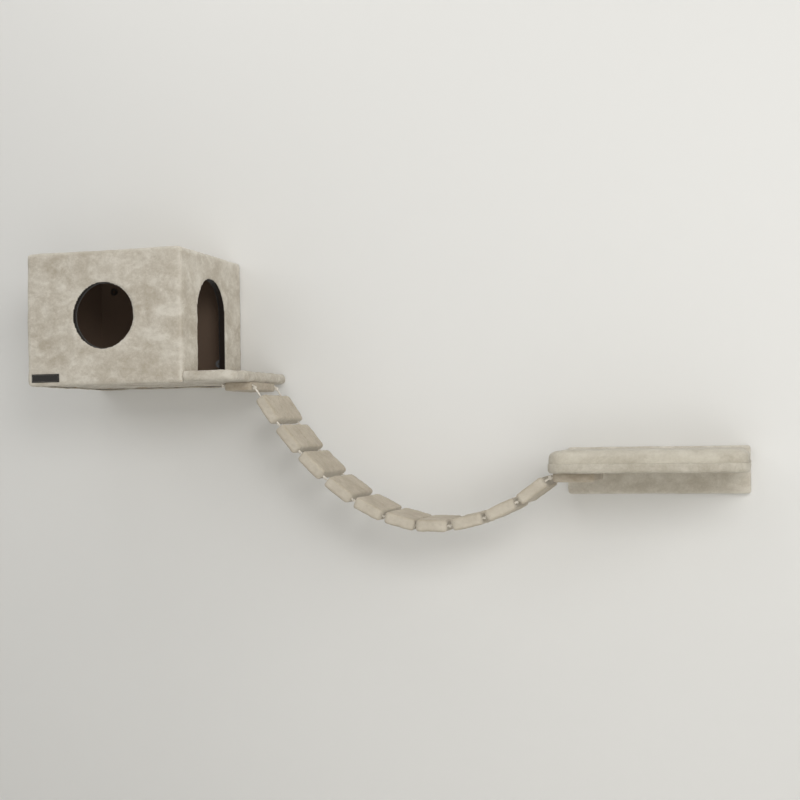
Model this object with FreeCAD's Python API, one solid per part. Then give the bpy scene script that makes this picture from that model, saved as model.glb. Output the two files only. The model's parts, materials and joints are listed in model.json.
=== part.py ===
"""Wall mounted climbing tree: plush house, rope-and-plank bridge and padded shelf.

Frame: millimetres, +Z up, +X to the right, +Y towards the mounting plane (y = 0).
The origin is the centre of the house's four mounting holes, on the mounting plane.
"""
import FreeCAD, Part
import math
import os

from FreeCAD import Placement, Rotation, Vector

# ---------------------------------------------------------------- driving dimensions
# House: a board box under a plush cover
house_width = 408.0
house_depth = 350.0
house_height = 320.0
panel_thickness = 12.0
plush_thickness = 3.0
lining_thickness = 2.0
house_edge_radius = 8.0
panel_edge_radius = 2.5

# Round front opening, placed from the house's middle
door_radius = 77.5
door_centre_rise = 5.0

# Arched side opening, from the floor's top face up
arch_width = 166.0
arch_height = 233.5
arch_centre_from_back = 178.0

# Floor board, which runs on past the house as a landing
floor_board_thickness = 17.0
floor_lift = 3.5
landing_length = 130.0
landing_front_setback = 3.0
landing_corner_radius = 26.0
landing_edge_radius = 7.0

# Blank tag on the front
tag_width = 74.0
tag_height = 20.0
tag_thickness = 0.8
tag_left_inset = 13.5
tag_bottom_inset = 8.5

# Mounting holes of the house, with a steel washer behind each screw head
house_hole_spacing_x = 300.0
house_hole_spacing_z = 200.0
mount_hole_radius = 3.0
washer_outer_radius = 10.0
washer_clearance = 0.3

# Cleats: the plush-covered planks that hold the rope ends
cleat_depth = 166.0
cleat_board_thickness = 15.0
cleat_corner_radius = 12.0
cleat_edge_radius = 5.0
left_cleat_width = 70.0
left_cleat_setback = 7.0
right_cleat_width = 94.0
left_bore_rise = 2.5

# Bridge
bridge_centre_from_back = 150.0
plank_length = 69.0
plank_depth = 170.0
plank_thickness = 24.0
plank_corner_radius = 9.0
plank_edge_radius = 6.0
rope_radius = 2.5
rope_spacing = 144.0
rope_bore_clearance = 0.3
knot_radius = 3.2
end_knot_radius = 5.0
knot_clearance = 0.3
knot_stand_off = 1.0
knot_pocket_clearance = 0.5
knot_pocket_depth = 13.0
rope_gaps = [29.5, 19.0, 16.0, 19.0, 16.0, 12.0, 7.0, 16.0, 14.0, 15.0, 16.5]
rope_drop_at_left = 6.5
first_plank_slope = -1.4883
last_plank_slope = 0.7227

# Shelf: board, crowned cushion and the backboard that carries them
shelf_width = 436.0
shelf_reach = 280.0
shelf_board_thickness = 12.0
shelf_corner_radius = 34.0
shelf_edge_radius = 5.0
shelf_overhang_left = 8.0
cushion_thickness = 26.0
cushion_crown = 4.0
cushion_draw_in = 3.0
cushion_inset = 1.0
cushion_edge_radius = 9.0
cushion_wrap = 3.0
backboard_width = 421.0
backboard_height = 110.0
backboard_thickness = 20.0
backboard_rise = 53.0
backboard_left_inset = 13.0
backboard_corner_radius = 5.0
backboard_edge_radius = 4.0
backboard_hole_spacing = 170.0
backboard_hole_rise = 27.0

# Screws
screw_radius = 2.0
screw_head_radius = 3.5
screw_head_height = 2.2
screw_clearance = 0.1
panel_screw_length = 42.0
cleat_screw_length = 30.0
shelf_screw_radius = 2.5
shelf_screw_length = 78.0
screw_end_inset = 60.0
cleat_screw_inset = 16.0
shelf_screw_count = 4

# ---------------------------------------------------------------- derived places
house_left = -house_width / 2
house_right = house_width / 2
house_bottom = -house_height / 2
house_top = house_height / 2
house_front = -house_depth

core_left = house_left + plush_thickness
core_right = house_right - plush_thickness
core_front = house_front + plush_thickness
core_bottom = house_bottom + plush_thickness
core_top = house_top - plush_thickness

cavity_left = core_left + panel_thickness
cavity_right = core_right - panel_thickness
cavity_front = core_front + panel_thickness
cavity_back = -panel_thickness
cavity_top = core_top - panel_thickness

floor_bottom = house_bottom + floor_lift
floor_thickness = floor_board_thickness + 2 * plush_thickness
floor_top = floor_bottom + floor_thickness
landing_right = house_right + landing_length
landing_front = house_front + landing_front_setback

arch_radius = arch_width / 2
arch_spring = floor_top + arch_height - arch_radius

cleat_thickness = cleat_board_thickness + 2 * plush_thickness
bridge_y = -bridge_centre_from_back
left_cleat_right = landing_right - left_cleat_setback
left_cleat_top = floor_bottom
left_bore_z = left_cleat_top - cleat_thickness / 2 + left_bore_rise
rope_rows = [bridge_y - rope_spacing / 2, bridge_y + rope_spacing / 2]
bore_radius = rope_radius + rope_bore_clearance

first_hinge = Vector(left_cleat_right + end_knot_radius + knot_stand_off, bridge_y,
                     left_bore_z - rope_drop_at_left)
plank_count = len(rope_gaps) - 1


def plank_slopes():
    """Slopes of evenly loaded planks on a hanging rope grow by equal steps."""
    step = (last_plank_slope - first_plank_slope) / (plank_count - 1)
    return [first_plank_slope + step * index for index in range(plank_count)]


def plank_layout():
    """Centre, tilt and the distances to both hinges of each plank, and all hinges."""
    planks = []
    hinges = [first_hinge]
    for index, slope in enumerate(plank_slopes()):
        tilt = math.atan(slope)
        along = Vector(math.cos(tilt), 0, math.sin(tilt))
        gap_before = rope_gaps[index] if index == 0 else rope_gaps[index] / 2
        gap_after = rope_gaps[index + 1]
        if index < plank_count - 1:
            gap_after = gap_after / 2
        to_left = plank_length / 2 + gap_before
        to_right = plank_length / 2 + gap_after
        centre = hinges[-1] + along * to_left
        planks.append((centre, tilt, to_left, to_right))
        hinges.append(centre + along * to_right)
    return planks, hinges


bridge_planks, bridge_hinges = plank_layout()
last_hinge = bridge_hinges[-1]

right_cleat_left = last_hinge.x + end_knot_radius + knot_stand_off
right_cleat_right = right_cleat_left + right_cleat_width
right_cleat_top = last_hinge.z + cleat_thickness / 2

shelf_left = right_cleat_left - shelf_overhang_left
shelf_right = shelf_left + shelf_width
shelf_bottom = right_cleat_top
shelf_base_thickness = shelf_board_thickness + 2 * plush_thickness
shelf_base_top = shelf_bottom + shelf_base_thickness
shelf_front = -shelf_reach
shelf_back = -backboard_thickness

backboard_left = shelf_left + backboard_left_inset
backboard_right = backboard_left + backboard_width
backboard_top = shelf_bottom + backboard_rise
backboard_bottom = backboard_top - backboard_height
backboard_hole_z = backboard_bottom + backboard_hole_rise
backboard_centre_x = (backboard_left + backboard_right) / 2

X_AXIS = Vector(1, 0, 0)
Y_AXIS = Vector(0, 1, 0)
Z_AXIS = Vector(0, 0, 1)
PROUD = 5.0          # how far a cutting tool stands past the faces it cuts


# ---------------------------------------------------------------- shape helpers
def block(x_low, x_high, y_low, y_high, z_low, z_high):
    """Box between two corners."""
    return Part.makeBox(x_high - x_low, y_high - y_low, z_high - z_low,
                        Vector(x_low, y_low, z_low))


def rod(radius, start, end):
    """Cylinder of the given radius between two points."""
    run = end - start
    return Part.makeCylinder(radius, run.Length, start, run)


def flat_at(edge, axis, place):
    """True where both ends of an edge lie in the plane axis = place."""
    return all(abs(getattr(vertex.Point, axis) - place) < 1e-4 for vertex in edge.Vertexes)


def runs_along(edge, direction):
    """True for a straight edge parallel to the direction."""
    if not isinstance(edge.Curve, Part.Line):
        return False
    return abs(abs(edge.tangentAt(edge.FirstParameter).dot(direction)) - 1) < 1e-6


def rounded_slab(x_low, x_high, y_low, y_high, z_low, z_high, corner, edge):
    """Board lying flat, with rounded plan corners and rounded top and bottom edges."""
    slab = block(x_low, x_high, y_low, y_high, z_low, z_high)
    slab = slab.makeFillet(corner, [e for e in slab.Edges if runs_along(e, Z_AXIS)])
    rims = [e for e in slab.Edges if flat_at(e, "z", z_low) or flat_at(e, "z", z_high)]
    return slab.makeFillet(edge, rims)


def screw(radius, length, head_radius, start, direction, clearance=0.0):
    """Countersunk screw whose head face is at start; a clearance gives its bore."""
    shaft = Part.makeCylinder(radius + clearance, length + clearance, start, direction)
    head = Part.makeCone(head_radius + clearance, radius + clearance, screw_head_height,
                         start, direction)
    return shaft.fuse(head).removeSplitter()


def small_screws(places, direction, length, clearance=0.0):
    """Screws of the common size at several places."""
    return [screw(screw_radius, length, screw_head_radius, place, direction, clearance)
            for place in places]


def cut_all(shape, tools):
    """The shape with every tool taken out of it."""
    return shape.cut(tools) if tools else shape


# ---------------------------------------------------------------- house
def house_block(inset, edge_radius):
    """Outer form of the house, shrunk by the inset on all sides but the mounting plane."""
    form = block(house_left + inset, house_right - inset, house_front + inset, 0,
                 house_bottom + inset, house_top - inset)
    edges = [e for e in form.Edges if not flat_at(e, "y", 0)]
    return form.makeFillet(edge_radius, edges)


def floor_block(inset):
    """Floor and landing: a neck inside the house and a wide landing outside it."""
    low = floor_bottom + inset
    high = floor_top - inset
    landing = block(house_right + inset, landing_right - inset, landing_front + inset,
                    -inset, low, high)
    corners = [e for e in landing.Edges
               if runs_along(e, Z_AXIS) and flat_at(e, "x", landing_right - inset)]
    landing = landing.makeFillet(landing_corner_radius - inset, corners)
    rims = [e for e in landing.Edges
            if (flat_at(e, "z", low) or flat_at(e, "z", high))
            and not flat_at(e, "x", house_right + inset)]
    landing = landing.makeFillet(landing_edge_radius - inset, rims)
    neck = block(cavity_left + inset, house_right + inset, cavity_front + inset,
                 cavity_back - inset, low, high)
    return landing.fuse(neck).removeSplitter()


def door_cutter(radius, y_low, y_high):
    """Round opening through the front between two depths."""
    return rod(radius, Vector(0, y_low, door_centre_rise), Vector(0, y_high, door_centre_rise))


def arch_cutter(radius, x_low, x_high, z_low):
    """Arched opening through the right side between two planes."""
    centre_y = -arch_centre_from_back
    legs = block(x_low, x_high, centre_y - radius, centre_y + radius, z_low, arch_spring)
    crown = rod(radius, Vector(x_low, centre_y, arch_spring), Vector(x_high, centre_y, arch_spring))
    return legs.fuse(crown).removeSplitter()


def panel_screw_places(y_head):
    """Heads of the screws that join the front or back panel to the sides, roof and floor."""
    side_left = (core_left + cavity_left) / 2
    side_right = (core_right + cavity_right) / 2
    roof_z = (core_top + cavity_top) / 2
    floor_z = (floor_bottom + floor_top) / 2
    high = house_top - screw_end_inset
    low = house_bottom + screw_end_inset
    middle = (high + low) / 2
    places = [Vector(side_left, y_head, z) for z in (low, middle, high)]
    places += [Vector(side_right, y_head, z) for z in (low, middle, high)]
    across = house_right - screw_end_inset
    places += [Vector(x, y_head, z) for x in (-across, across) for z in (roof_z, floor_z)]
    return places


def house_screw_set(clearance=0.0):
    """All screws of the house box, through the front and through the back panel."""
    front = small_screws(panel_screw_places(core_front), Y_AXIS, panel_screw_length, clearance)
    back = small_screws(panel_screw_places(0), -Y_AXIS, panel_screw_length, clearance)
    return front + back


def house_mount_points():
    """The four mounting holes' places on the mounting plane."""
    half_x = house_hole_spacing_x / 2
    half_z = house_hole_spacing_z / 2
    return [Vector(x, 0, z) for x in (-half_x, half_x) for z in (-half_z, half_z)]


def house_nodes():
    """Panels, lining, covers, tag, washers and screws of the house."""
    nodes = {}
    core = house_block(plush_thickness, panel_edge_radius)
    screw_bores = house_screw_set(screw_clearance)
    board_door = door_radius + plush_thickness
    board_arch = arch_radius + plush_thickness
    front_hole = door_cutter(board_door, core_front - PROUD, cavity_front + PROUD)
    side_hole = arch_cutter(board_arch, cavity_right - PROUD, core_right + PROUD,
                            floor_top - PROUD)
    mount_bores = [rod(mount_hole_radius, point + Y_AXIS * PROUD,
                       point - Y_AXIS * (panel_thickness + PROUD))
                   for point in house_mount_points()]

    panels = {
        "house_front_panel": block(core_left, core_right, core_front, cavity_front,
                                   core_bottom, core_top).cut(front_hole),
        "house_back_panel": cut_all(block(core_left, core_right, cavity_back, 0,
                                          core_bottom, core_top), mount_bores),
        "house_left_panel": block(core_left, cavity_left, cavity_front, cavity_back,
                                  core_bottom, cavity_top),
        "house_right_panel": block(cavity_right, core_right, cavity_front, cavity_back,
                                   floor_top, cavity_top).cut(side_hole),
        "house_roof_panel": block(core_left, core_right, cavity_front, cavity_back,
                                  cavity_top, core_top),
    }
    for name, panel in panels.items():
        nodes[name] = cut_all(panel.common(core), screw_bores)

    floor_board = floor_block(plush_thickness)
    floor_cover = floor_block(0).cut(floor_board)
    floor_tools = screw_bores + left_cleat_screws(screw_clearance)
    nodes["floor_board"] = cut_all(floor_board, floor_tools)
    nodes["floor_cover"] = cut_all(floor_cover, floor_tools)

    nodes["house_lining"] = house_lining(board_door, board_arch)
    nodes["house_cover"] = house_cover(core)
    nodes["house_screws"] = Part.makeCompound(house_screw_set())
    nodes["house_washers"] = Part.makeCompound([mount_washer(p) for p in house_mount_points()])
    nodes["blank_tag"] = block(house_left + tag_left_inset,
                               house_left + tag_left_inset + tag_width,
                               house_front - tag_thickness, house_front,
                               house_bottom + tag_bottom_inset,
                               house_bottom + tag_bottom_inset + tag_height)
    return nodes


def mount_washer(point):
    """Steel washer on the inner face of the back panel, level with the lining."""
    inner = point - Y_AXIS * panel_thickness
    outer = inner - Y_AXIS * lining_thickness
    disc = rod(washer_outer_radius, inner, outer)
    return disc.cut(rod(mount_hole_radius, inner + Y_AXIS * PROUD, outer - Y_AXIS * PROUD))


def house_lining(board_door, board_arch):
    """Dark felt on the inner faces, open over the floor and at both openings."""
    felt = block(cavity_left, cavity_right, cavity_front, cavity_back, floor_top, cavity_top)
    room = block(cavity_left + lining_thickness, cavity_right - lining_thickness,
                 cavity_front + lining_thickness, cavity_back - lining_thickness,
                 floor_top - PROUD, cavity_top - lining_thickness)
    washer_holes = [rod(washer_outer_radius + washer_clearance, p,
                        p - Y_AXIS * (panel_thickness + lining_thickness + PROUD))
                    for p in house_mount_points()]
    door = door_cutter(board_door, cavity_front - PROUD, cavity_front + lining_thickness + PROUD)
    arch = arch_cutter(board_arch, cavity_right - lining_thickness - PROUD,
                       cavity_right + PROUD, floor_top - PROUD)
    return cut_all(felt, [room, door, arch] + washer_holes)


def house_cover(core):
    """Plush skin over the box, turned in through both openings."""
    skin = house_block(0, house_edge_radius).cut(core)
    under = block(cavity_left, house_right + PROUD, cavity_front, cavity_back,
                  house_bottom - PROUD, floor_top)
    sleeve_end = cavity_front + lining_thickness
    skin = skin.cut([under, door_cutter(door_radius + plush_thickness, house_front - PROUD,
                                        cavity_front)])
    skin = skin.cut(arch_cutter(arch_radius + plush_thickness, core_right - PROUD,
                                house_right + PROUD, floor_top - PROUD))
    door_sleeve = door_cutter(door_radius + plush_thickness, house_front, sleeve_end)
    door_sleeve = door_sleeve.cut(door_cutter(door_radius, house_front - PROUD,
                                              sleeve_end + PROUD))
    inner_x = cavity_right - lining_thickness
    arch_sleeve = arch_cutter(arch_radius + plush_thickness, inner_x, house_right, floor_top)
    arch_sleeve = arch_sleeve.cut(arch_cutter(arch_radius, inner_x - PROUD,
                                              house_right + PROUD, floor_top - PROUD))
    return skin.fuse([door_sleeve, arch_sleeve]).removeSplitter()


# ---------------------------------------------------------------- rope cleats
def rope_bores(x_low, x_high, z_centre):
    """The two rope holes along X at one height."""
    return [rod(bore_radius, Vector(x_low - PROUD, y, z_centre), Vector(x_high + PROUD, y, z_centre))
            for y in rope_rows]


def cleat_screw_points(x_low, x_high, z_head):
    """Four screw heads near the corners of a cleat."""
    half = cleat_depth / 2 - 2 * cleat_screw_inset
    return [Vector(x, bridge_y + side * half, z_head)
            for x in (x_low + cleat_screw_inset, x_high - cleat_screw_inset)
            for side in (-1, 1)]


def cleat_screws(x_low, x_high, top, clearance):
    """Screws that hold a cleat from below, heads on its board."""
    z_head = top - cleat_thickness + plush_thickness
    return small_screws(cleat_screw_points(x_low, x_high, z_head), Z_AXIS,
                        cleat_screw_length, clearance)


def left_cleat_screws(clearance=0.0):
    """Screws of the cleat under the landing."""
    return cleat_screws(left_cleat_right - left_cleat_width, left_cleat_right,
                        left_cleat_top, clearance)


def right_cleat_screws(clearance=0.0):
    """Screws of the cleat under the shelf."""
    return cleat_screws(right_cleat_left, right_cleat_right, right_cleat_top, clearance)


def cleat_nodes(side, x_low, x_high, top, bore_z, screws, screw_bores, pockets=()):
    """Board, plush cover and screws of one cleat."""
    half = cleat_depth / 2
    low = top - cleat_thickness
    outer = rounded_slab(x_low, x_high, bridge_y - half, bridge_y + half, low, top,
                         cleat_corner_radius, cleat_edge_radius)
    inset = plush_thickness
    board = rounded_slab(x_low + inset, x_high - inset, bridge_y - half + inset,
                         bridge_y + half - inset, low + inset, top - inset,
                         cleat_corner_radius - inset, cleat_edge_radius - inset)
    bores = rope_bores(x_low, x_high, bore_z) + screw_bores + list(pockets)
    head_radius = screw_head_radius + screw_clearance
    access = [rod(head_radius, p + Z_AXIS * screw_clearance, p - Z_AXIS * (inset + PROUD))
              for p in cleat_screw_points(x_low, x_high, low + inset)]
    return {
        side + "_cleat_board": cut_all(board, bores),
        side + "_cleat_cover": cut_all(outer.cut(board), bores + access),
        side + "_cleat_screws": Part.makeCompound(screws),
    }


def right_knot_pockets():
    """Pockets in the right cleat's far end that hide the stopper knots."""
    radius = end_knot_radius + knot_pocket_clearance
    start = right_cleat_right - knot_pocket_depth
    return [rod(radius, Vector(start, y, last_hinge.z),
                Vector(right_cleat_right + PROUD, y, last_hinge.z)) for y in rope_rows]


def left_rope_end(y):
    """Rope from its stopper knot through the left cleat and down to the first hinge knot."""
    tail = left_cleat_right - left_cleat_width - end_knot_radius
    bend = Vector(left_cleat_right + rope_radius, y, left_bore_z)
    hinge = Vector(first_hinge.x, y, first_hinge.z)
    pieces = [Part.makeSphere(end_knot_radius, Vector(tail, y, left_bore_z)),
              Part.makeSphere(rope_radius, bend),
              rod(rope_radius, bend, hinge),
              Part.makeSphere(end_knot_radius, hinge)]
    return rod(rope_radius, Vector(tail, y, left_bore_z), bend).fuse(pieces).removeSplitter()


def right_rope_end(y):
    """Rope from the last hinge knot into the right cleat, its stopper knot sunk in a pocket."""
    tail = right_cleat_right - knot_pocket_depth + end_knot_radius
    hinge = Vector(last_hinge.x, y, last_hinge.z)
    stop = Vector(tail, y, last_hinge.z)
    pieces = [Part.makeSphere(end_knot_radius, hinge), Part.makeSphere(end_knot_radius, stop)]
    return rod(rope_radius, hinge, stop).fuse(pieces).removeSplitter()


# ---------------------------------------------------------------- bridge planks
def plank_placement(centre, tilt):
    """Where a plank made about the origin goes: tilted about Y, then moved."""
    return Placement(centre, Rotation(Y_AXIS, -math.degrees(tilt)))


def plank_body(inset):
    """A plank about the origin, its length along X."""
    half_length = plank_length / 2 - inset
    half_depth = plank_depth / 2 - inset
    half_thick = plank_thickness / 2 - inset
    return rounded_slab(-half_length, half_length, -half_depth, half_depth, -half_thick,
                        half_thick, plank_corner_radius - inset, plank_edge_radius - inset)


def plank_rope(y, to_left, to_right, left_knot, right_knot, knotted):
    """One rope from the knot at its left hinge to its own knot at the right hinge."""
    left = Vector(-to_left, y, 0)
    right = Vector(to_right, y, 0)
    rope = rod(rope_radius, left, right)
    rope = rope.cut(Part.makeSphere(left_knot + knot_clearance, left))
    if knotted:
        return rope.fuse(Part.makeSphere(right_knot, right)).removeSplitter()
    return rope.cut(Part.makeSphere(right_knot + knot_clearance, right))


def plank_nodes(index):
    """Board, plush cover and both ropes of one plank."""
    centre, tilt, to_left, to_right = bridge_planks[index]
    place = plank_placement(centre, tilt)
    half_rope = rope_spacing / 2
    reach = plank_length / 2 + PROUD
    bores = [rod(bore_radius, Vector(-reach, y, 0), Vector(reach, y, 0))
             for y in (-half_rope, half_rope)]
    board = plank_body(plush_thickness)
    last = index == plank_count - 1
    left_knot = end_knot_radius if index == 0 else knot_radius
    right_knot = end_knot_radius if last else knot_radius
    ropes = [plank_rope(y, to_left, to_right, left_knot, right_knot, not last)
             for y in (-half_rope, half_rope)]
    made = {
        "board": board.cut(bores),
        "cover": plank_body(0).cut(board).cut(bores),
        "ropes": Part.makeCompound(ropes),
    }
    nodes = {}
    for kind, shape in made.items():
        nodes["plank_%02d_%s" % (index + 1, kind)] = moved(shape, place)
    return nodes


def moved(shape, place):
    """A copy of the shape put at a placement."""
    copy = shape.copy()
    copy.Placement = place
    return copy


# ---------------------------------------------------------------- shelf
def shelf_screw_set(clearance=0.0):
    """Long screws from the backboard's rear face into the shelf board's rear edge."""
    z = (shelf_bottom + shelf_base_top) / 2
    first = backboard_left + screw_end_inset
    last = backboard_right - screw_end_inset
    step = (last - first) / (shelf_screw_count - 1)
    return [screw(shelf_screw_radius, shelf_screw_length, screw_head_radius,
                  Vector(first + step * index, 0, z), -Y_AXIS, clearance)
            for index in range(shelf_screw_count)]


def cushion_body(inset):
    """Crowned pad with drawn-in sides, shrunk by the inset on every side."""
    left = shelf_left + cushion_inset + inset
    right = shelf_right - cushion_inset - inset
    front = shelf_front + cushion_inset + inset
    back = shelf_back - inset
    low = shelf_base_top + inset
    shoulder = low + cushion_thickness - 2 * inset
    middle_x = (left + right) / 2
    middle_y = (front + back) / 2
    draw = cushion_draw_in
    corners = [Vector(left, front, low), Vector(right, front, low),
               Vector(right, back, low), Vector(left, back, low)]
    outline = Part.Wire([
        Part.Arc(corners[0], Vector(middle_x, front + draw, low), corners[1]).toShape(),
        Part.Arc(corners[1], Vector(right - draw, middle_y, low), corners[2]).toShape(),
        Part.LineSegment(corners[2], corners[3]).toShape(),
        Part.Arc(corners[3], Vector(left + draw, middle_y, low), corners[0]).toShape(),
    ])
    height = cushion_thickness + cushion_crown
    pad = Part.Face(outline).extrude(Z_AXIS * height)
    uprights = [e for e in pad.Edges if runs_along(e, Z_AXIS)]
    front_uprights = [e for e in uprights if flat_at(e, "y", front)]
    pad = pad.makeFillet(shelf_corner_radius - cushion_inset - inset, front_uprights)
    crown_top = shoulder + cushion_crown
    section = Part.Wire([
        Part.LineSegment(Vector(left - PROUD, front - PROUD, low),
                         Vector(right + PROUD, front - PROUD, low)).toShape(),
        Part.LineSegment(Vector(right + PROUD, front - PROUD, low),
                         Vector(right + PROUD, front - PROUD, shoulder)).toShape(),
        Part.Arc(Vector(right + PROUD, front - PROUD, shoulder),
                 Vector(middle_x, front - PROUD, crown_top),
                 Vector(left - PROUD, front - PROUD, shoulder)).toShape(),
        Part.LineSegment(Vector(left - PROUD, front - PROUD, shoulder),
                         Vector(left - PROUD, front - PROUD, low)).toShape(),
    ])
    crown = Part.Face(section).extrude(Y_AXIS * (back - front + 2 * PROUD))
    pad = pad.common(crown)
    top_face = max(pad.Faces, key=lambda face: face.CenterOfMass.z)
    rims = [e for e in top_face.Edges if not flat_at(e, "y", back)]
    return pad.makeFillet(cushion_edge_radius - inset, rims)


def backboard_body(inset):
    """Backboard standing on the mounting plane, shrunk by the inset except at the plane."""
    board = block(backboard_left + inset, backboard_right - inset, shelf_back + inset, 0,
                  backboard_bottom + inset, backboard_top - inset)
    board = board.makeFillet(backboard_corner_radius - inset,
                             [e for e in board.Edges if runs_along(e, Y_AXIS)])
    rims = [e for e in board.Edges if flat_at(e, "y", shelf_back + inset)]
    return board.makeFillet(backboard_edge_radius - inset, rims)


def shelf_base_body(inset):
    """Shelf board under its cover: square at the backboard, rounded at the front."""
    low = shelf_bottom + inset
    high = shelf_base_top - inset
    front = shelf_front + inset
    base = block(shelf_left + inset, shelf_right - inset, front, shelf_back - inset, low, high)
    corners = [e for e in base.Edges if runs_along(e, Z_AXIS) and flat_at(e, "y", front)]
    base = base.makeFillet(shelf_corner_radius - inset, corners)
    rims = [e for e in base.Edges
            if (flat_at(e, "z", low) or flat_at(e, "z", high))
            and not flat_at(e, "y", shelf_back - inset)]
    return base.makeFillet(shelf_edge_radius - inset, rims)


def shelf_nodes():
    """Shelf board, cushion, backboard, their covers and the long screws."""
    screw_bores = shelf_screw_set(screw_clearance)
    cleat_bores = right_cleat_screws(screw_clearance)
    mount_bores = [rod(mount_hole_radius, Vector(x, PROUD, backboard_hole_z),
                       Vector(x, shelf_back - PROUD, backboard_hole_z))
                   for x in (backboard_centre_x - backboard_hole_spacing,
                             backboard_centre_x,
                             backboard_centre_x + backboard_hole_spacing)]
    base = shelf_base_body(plush_thickness)
    board = backboard_body(plush_thickness)
    foam = cushion_body(cushion_wrap)
    return {
        "shelf_board": cut_all(base, screw_bores + cleat_bores),
        "shelf_board_cover": cut_all(shelf_base_body(0).cut(base), screw_bores + cleat_bores),
        "shelf_cushion_foam": foam,
        "shelf_cushion_cover": cushion_body(0).cut(foam),
        "backboard": cut_all(board, screw_bores + mount_bores),
        "backboard_cover": cut_all(backboard_body(0).cut(board), screw_bores + mount_bores),
        "shelf_screws": Part.makeCompound(shelf_screw_set()),
    }


# ---------------------------------------------------------------- all nodes
def build_nodes():
    """Every node of the tree by name."""
    nodes = house_nodes()
    nodes.update(cleat_nodes("left", left_cleat_right - left_cleat_width, left_cleat_right,
                             left_cleat_top, left_bore_z, left_cleat_screws(),
                             left_cleat_screws(screw_clearance)))
    nodes["left_rope_ends"] = Part.makeCompound([left_rope_end(y) for y in rope_rows])
    for index in range(plank_count):
        nodes.update(plank_nodes(index))
    nodes["right_rope_ends"] = Part.makeCompound([right_rope_end(y) for y in rope_rows])
    nodes.update(cleat_nodes("right", right_cleat_left, right_cleat_right, right_cleat_top,
                             last_hinge.z, right_cleat_screws(),
                             right_cleat_screws(screw_clearance), right_knot_pockets()))
    nodes.update(shelf_nodes())
    return nodes


def main():
    """Write one STEP file per node."""
    os.makedirs("parts", exist_ok=True)
    for name, shape in build_nodes().items():
        shape.exportStep("parts/" + name + ".step")
        print("%-24s solids %2d  volume %10.0f mm3  valid %s"
              % (name, len(shape.Solids), shape.Volume, shape.isValid()))


main()
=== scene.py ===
"""Looks of a wall mounted climbing tree: plush house, landing, rope bridge and padded shelf.

Everything is in metres in the part's own frame: +Z up, +X from the house to the shelf, and the
mounting plane at y = 0 with the tree on its -Y side.
"""

import json
import logging
import math
from dataclasses import dataclass, field
from enum import Enum

import bmesh
import bpy
import numpy as np
from mathutils import Matrix, Vector, noise


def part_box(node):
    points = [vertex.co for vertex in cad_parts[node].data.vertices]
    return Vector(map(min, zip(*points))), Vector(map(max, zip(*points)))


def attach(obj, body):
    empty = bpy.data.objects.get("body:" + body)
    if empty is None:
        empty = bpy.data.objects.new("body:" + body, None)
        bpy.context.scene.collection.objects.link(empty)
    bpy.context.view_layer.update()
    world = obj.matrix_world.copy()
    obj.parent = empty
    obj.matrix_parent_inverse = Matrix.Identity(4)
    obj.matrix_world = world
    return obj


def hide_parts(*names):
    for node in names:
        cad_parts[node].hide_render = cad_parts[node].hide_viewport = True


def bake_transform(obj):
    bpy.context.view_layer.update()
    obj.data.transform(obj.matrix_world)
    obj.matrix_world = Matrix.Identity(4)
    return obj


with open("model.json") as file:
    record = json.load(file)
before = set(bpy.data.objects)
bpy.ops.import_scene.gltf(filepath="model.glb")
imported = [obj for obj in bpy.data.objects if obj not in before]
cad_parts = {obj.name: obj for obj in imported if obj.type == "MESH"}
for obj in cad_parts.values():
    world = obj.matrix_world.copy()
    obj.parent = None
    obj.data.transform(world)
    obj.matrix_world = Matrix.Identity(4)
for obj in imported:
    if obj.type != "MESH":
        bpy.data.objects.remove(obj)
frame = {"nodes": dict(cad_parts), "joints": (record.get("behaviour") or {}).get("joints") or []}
log = logging.getLogger("tree")

EDGE_SHEEN_ATTRIBUTE = "turned_edge"
SHADE_SLEEVE_ATTRIBUTE = "sleeve_depth"
FRAME_BODY = "fixed_frame"
MM = 0.001
TINY = 1e-6
STRANDS = 3
UPRIGHT = Matrix.Rotation(math.pi / 2, 4, "X")
Colour = tuple[float, float, float, float]


# ------------------------------------------------------------------------------ choices
class RopeRow(Enum):
    """The two ropes of the bridge, by their place in Y."""

    FRONT = "front"
    BACK = "back"


class Slot(Enum):
    """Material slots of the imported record."""

    PLUSH = "plush"
    LINING = "lining"
    ROPE = "rope"
    TAG = "tag"


class Effect(Enum):
    """Shared effects, by the output that mixes a finish's two colours."""

    NAP = "Patch"
    CHIPS = "Chips"
    THREAD = "Thread"


# ------------------------------------------------------------------------------ colour
def srgb(red: float, green: float, blue: float) -> Colour:
    """Linear colour of an 8-bit sRGB one.

    Args:
        red: Red from 0 to 255.
        green: Green from 0 to 255.
        blue: Blue from 0 to 255.

    Returns:
        Linear RGBA.
    """
    values = []
    for channel in (red, green, blue):
        part = channel / 255
        values.append(part / 12.92 if part <= 0.04045 else ((part + 0.055) / 1.055) ** 2.4)
    return (values[0], values[1], values[2], 1.0)


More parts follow.
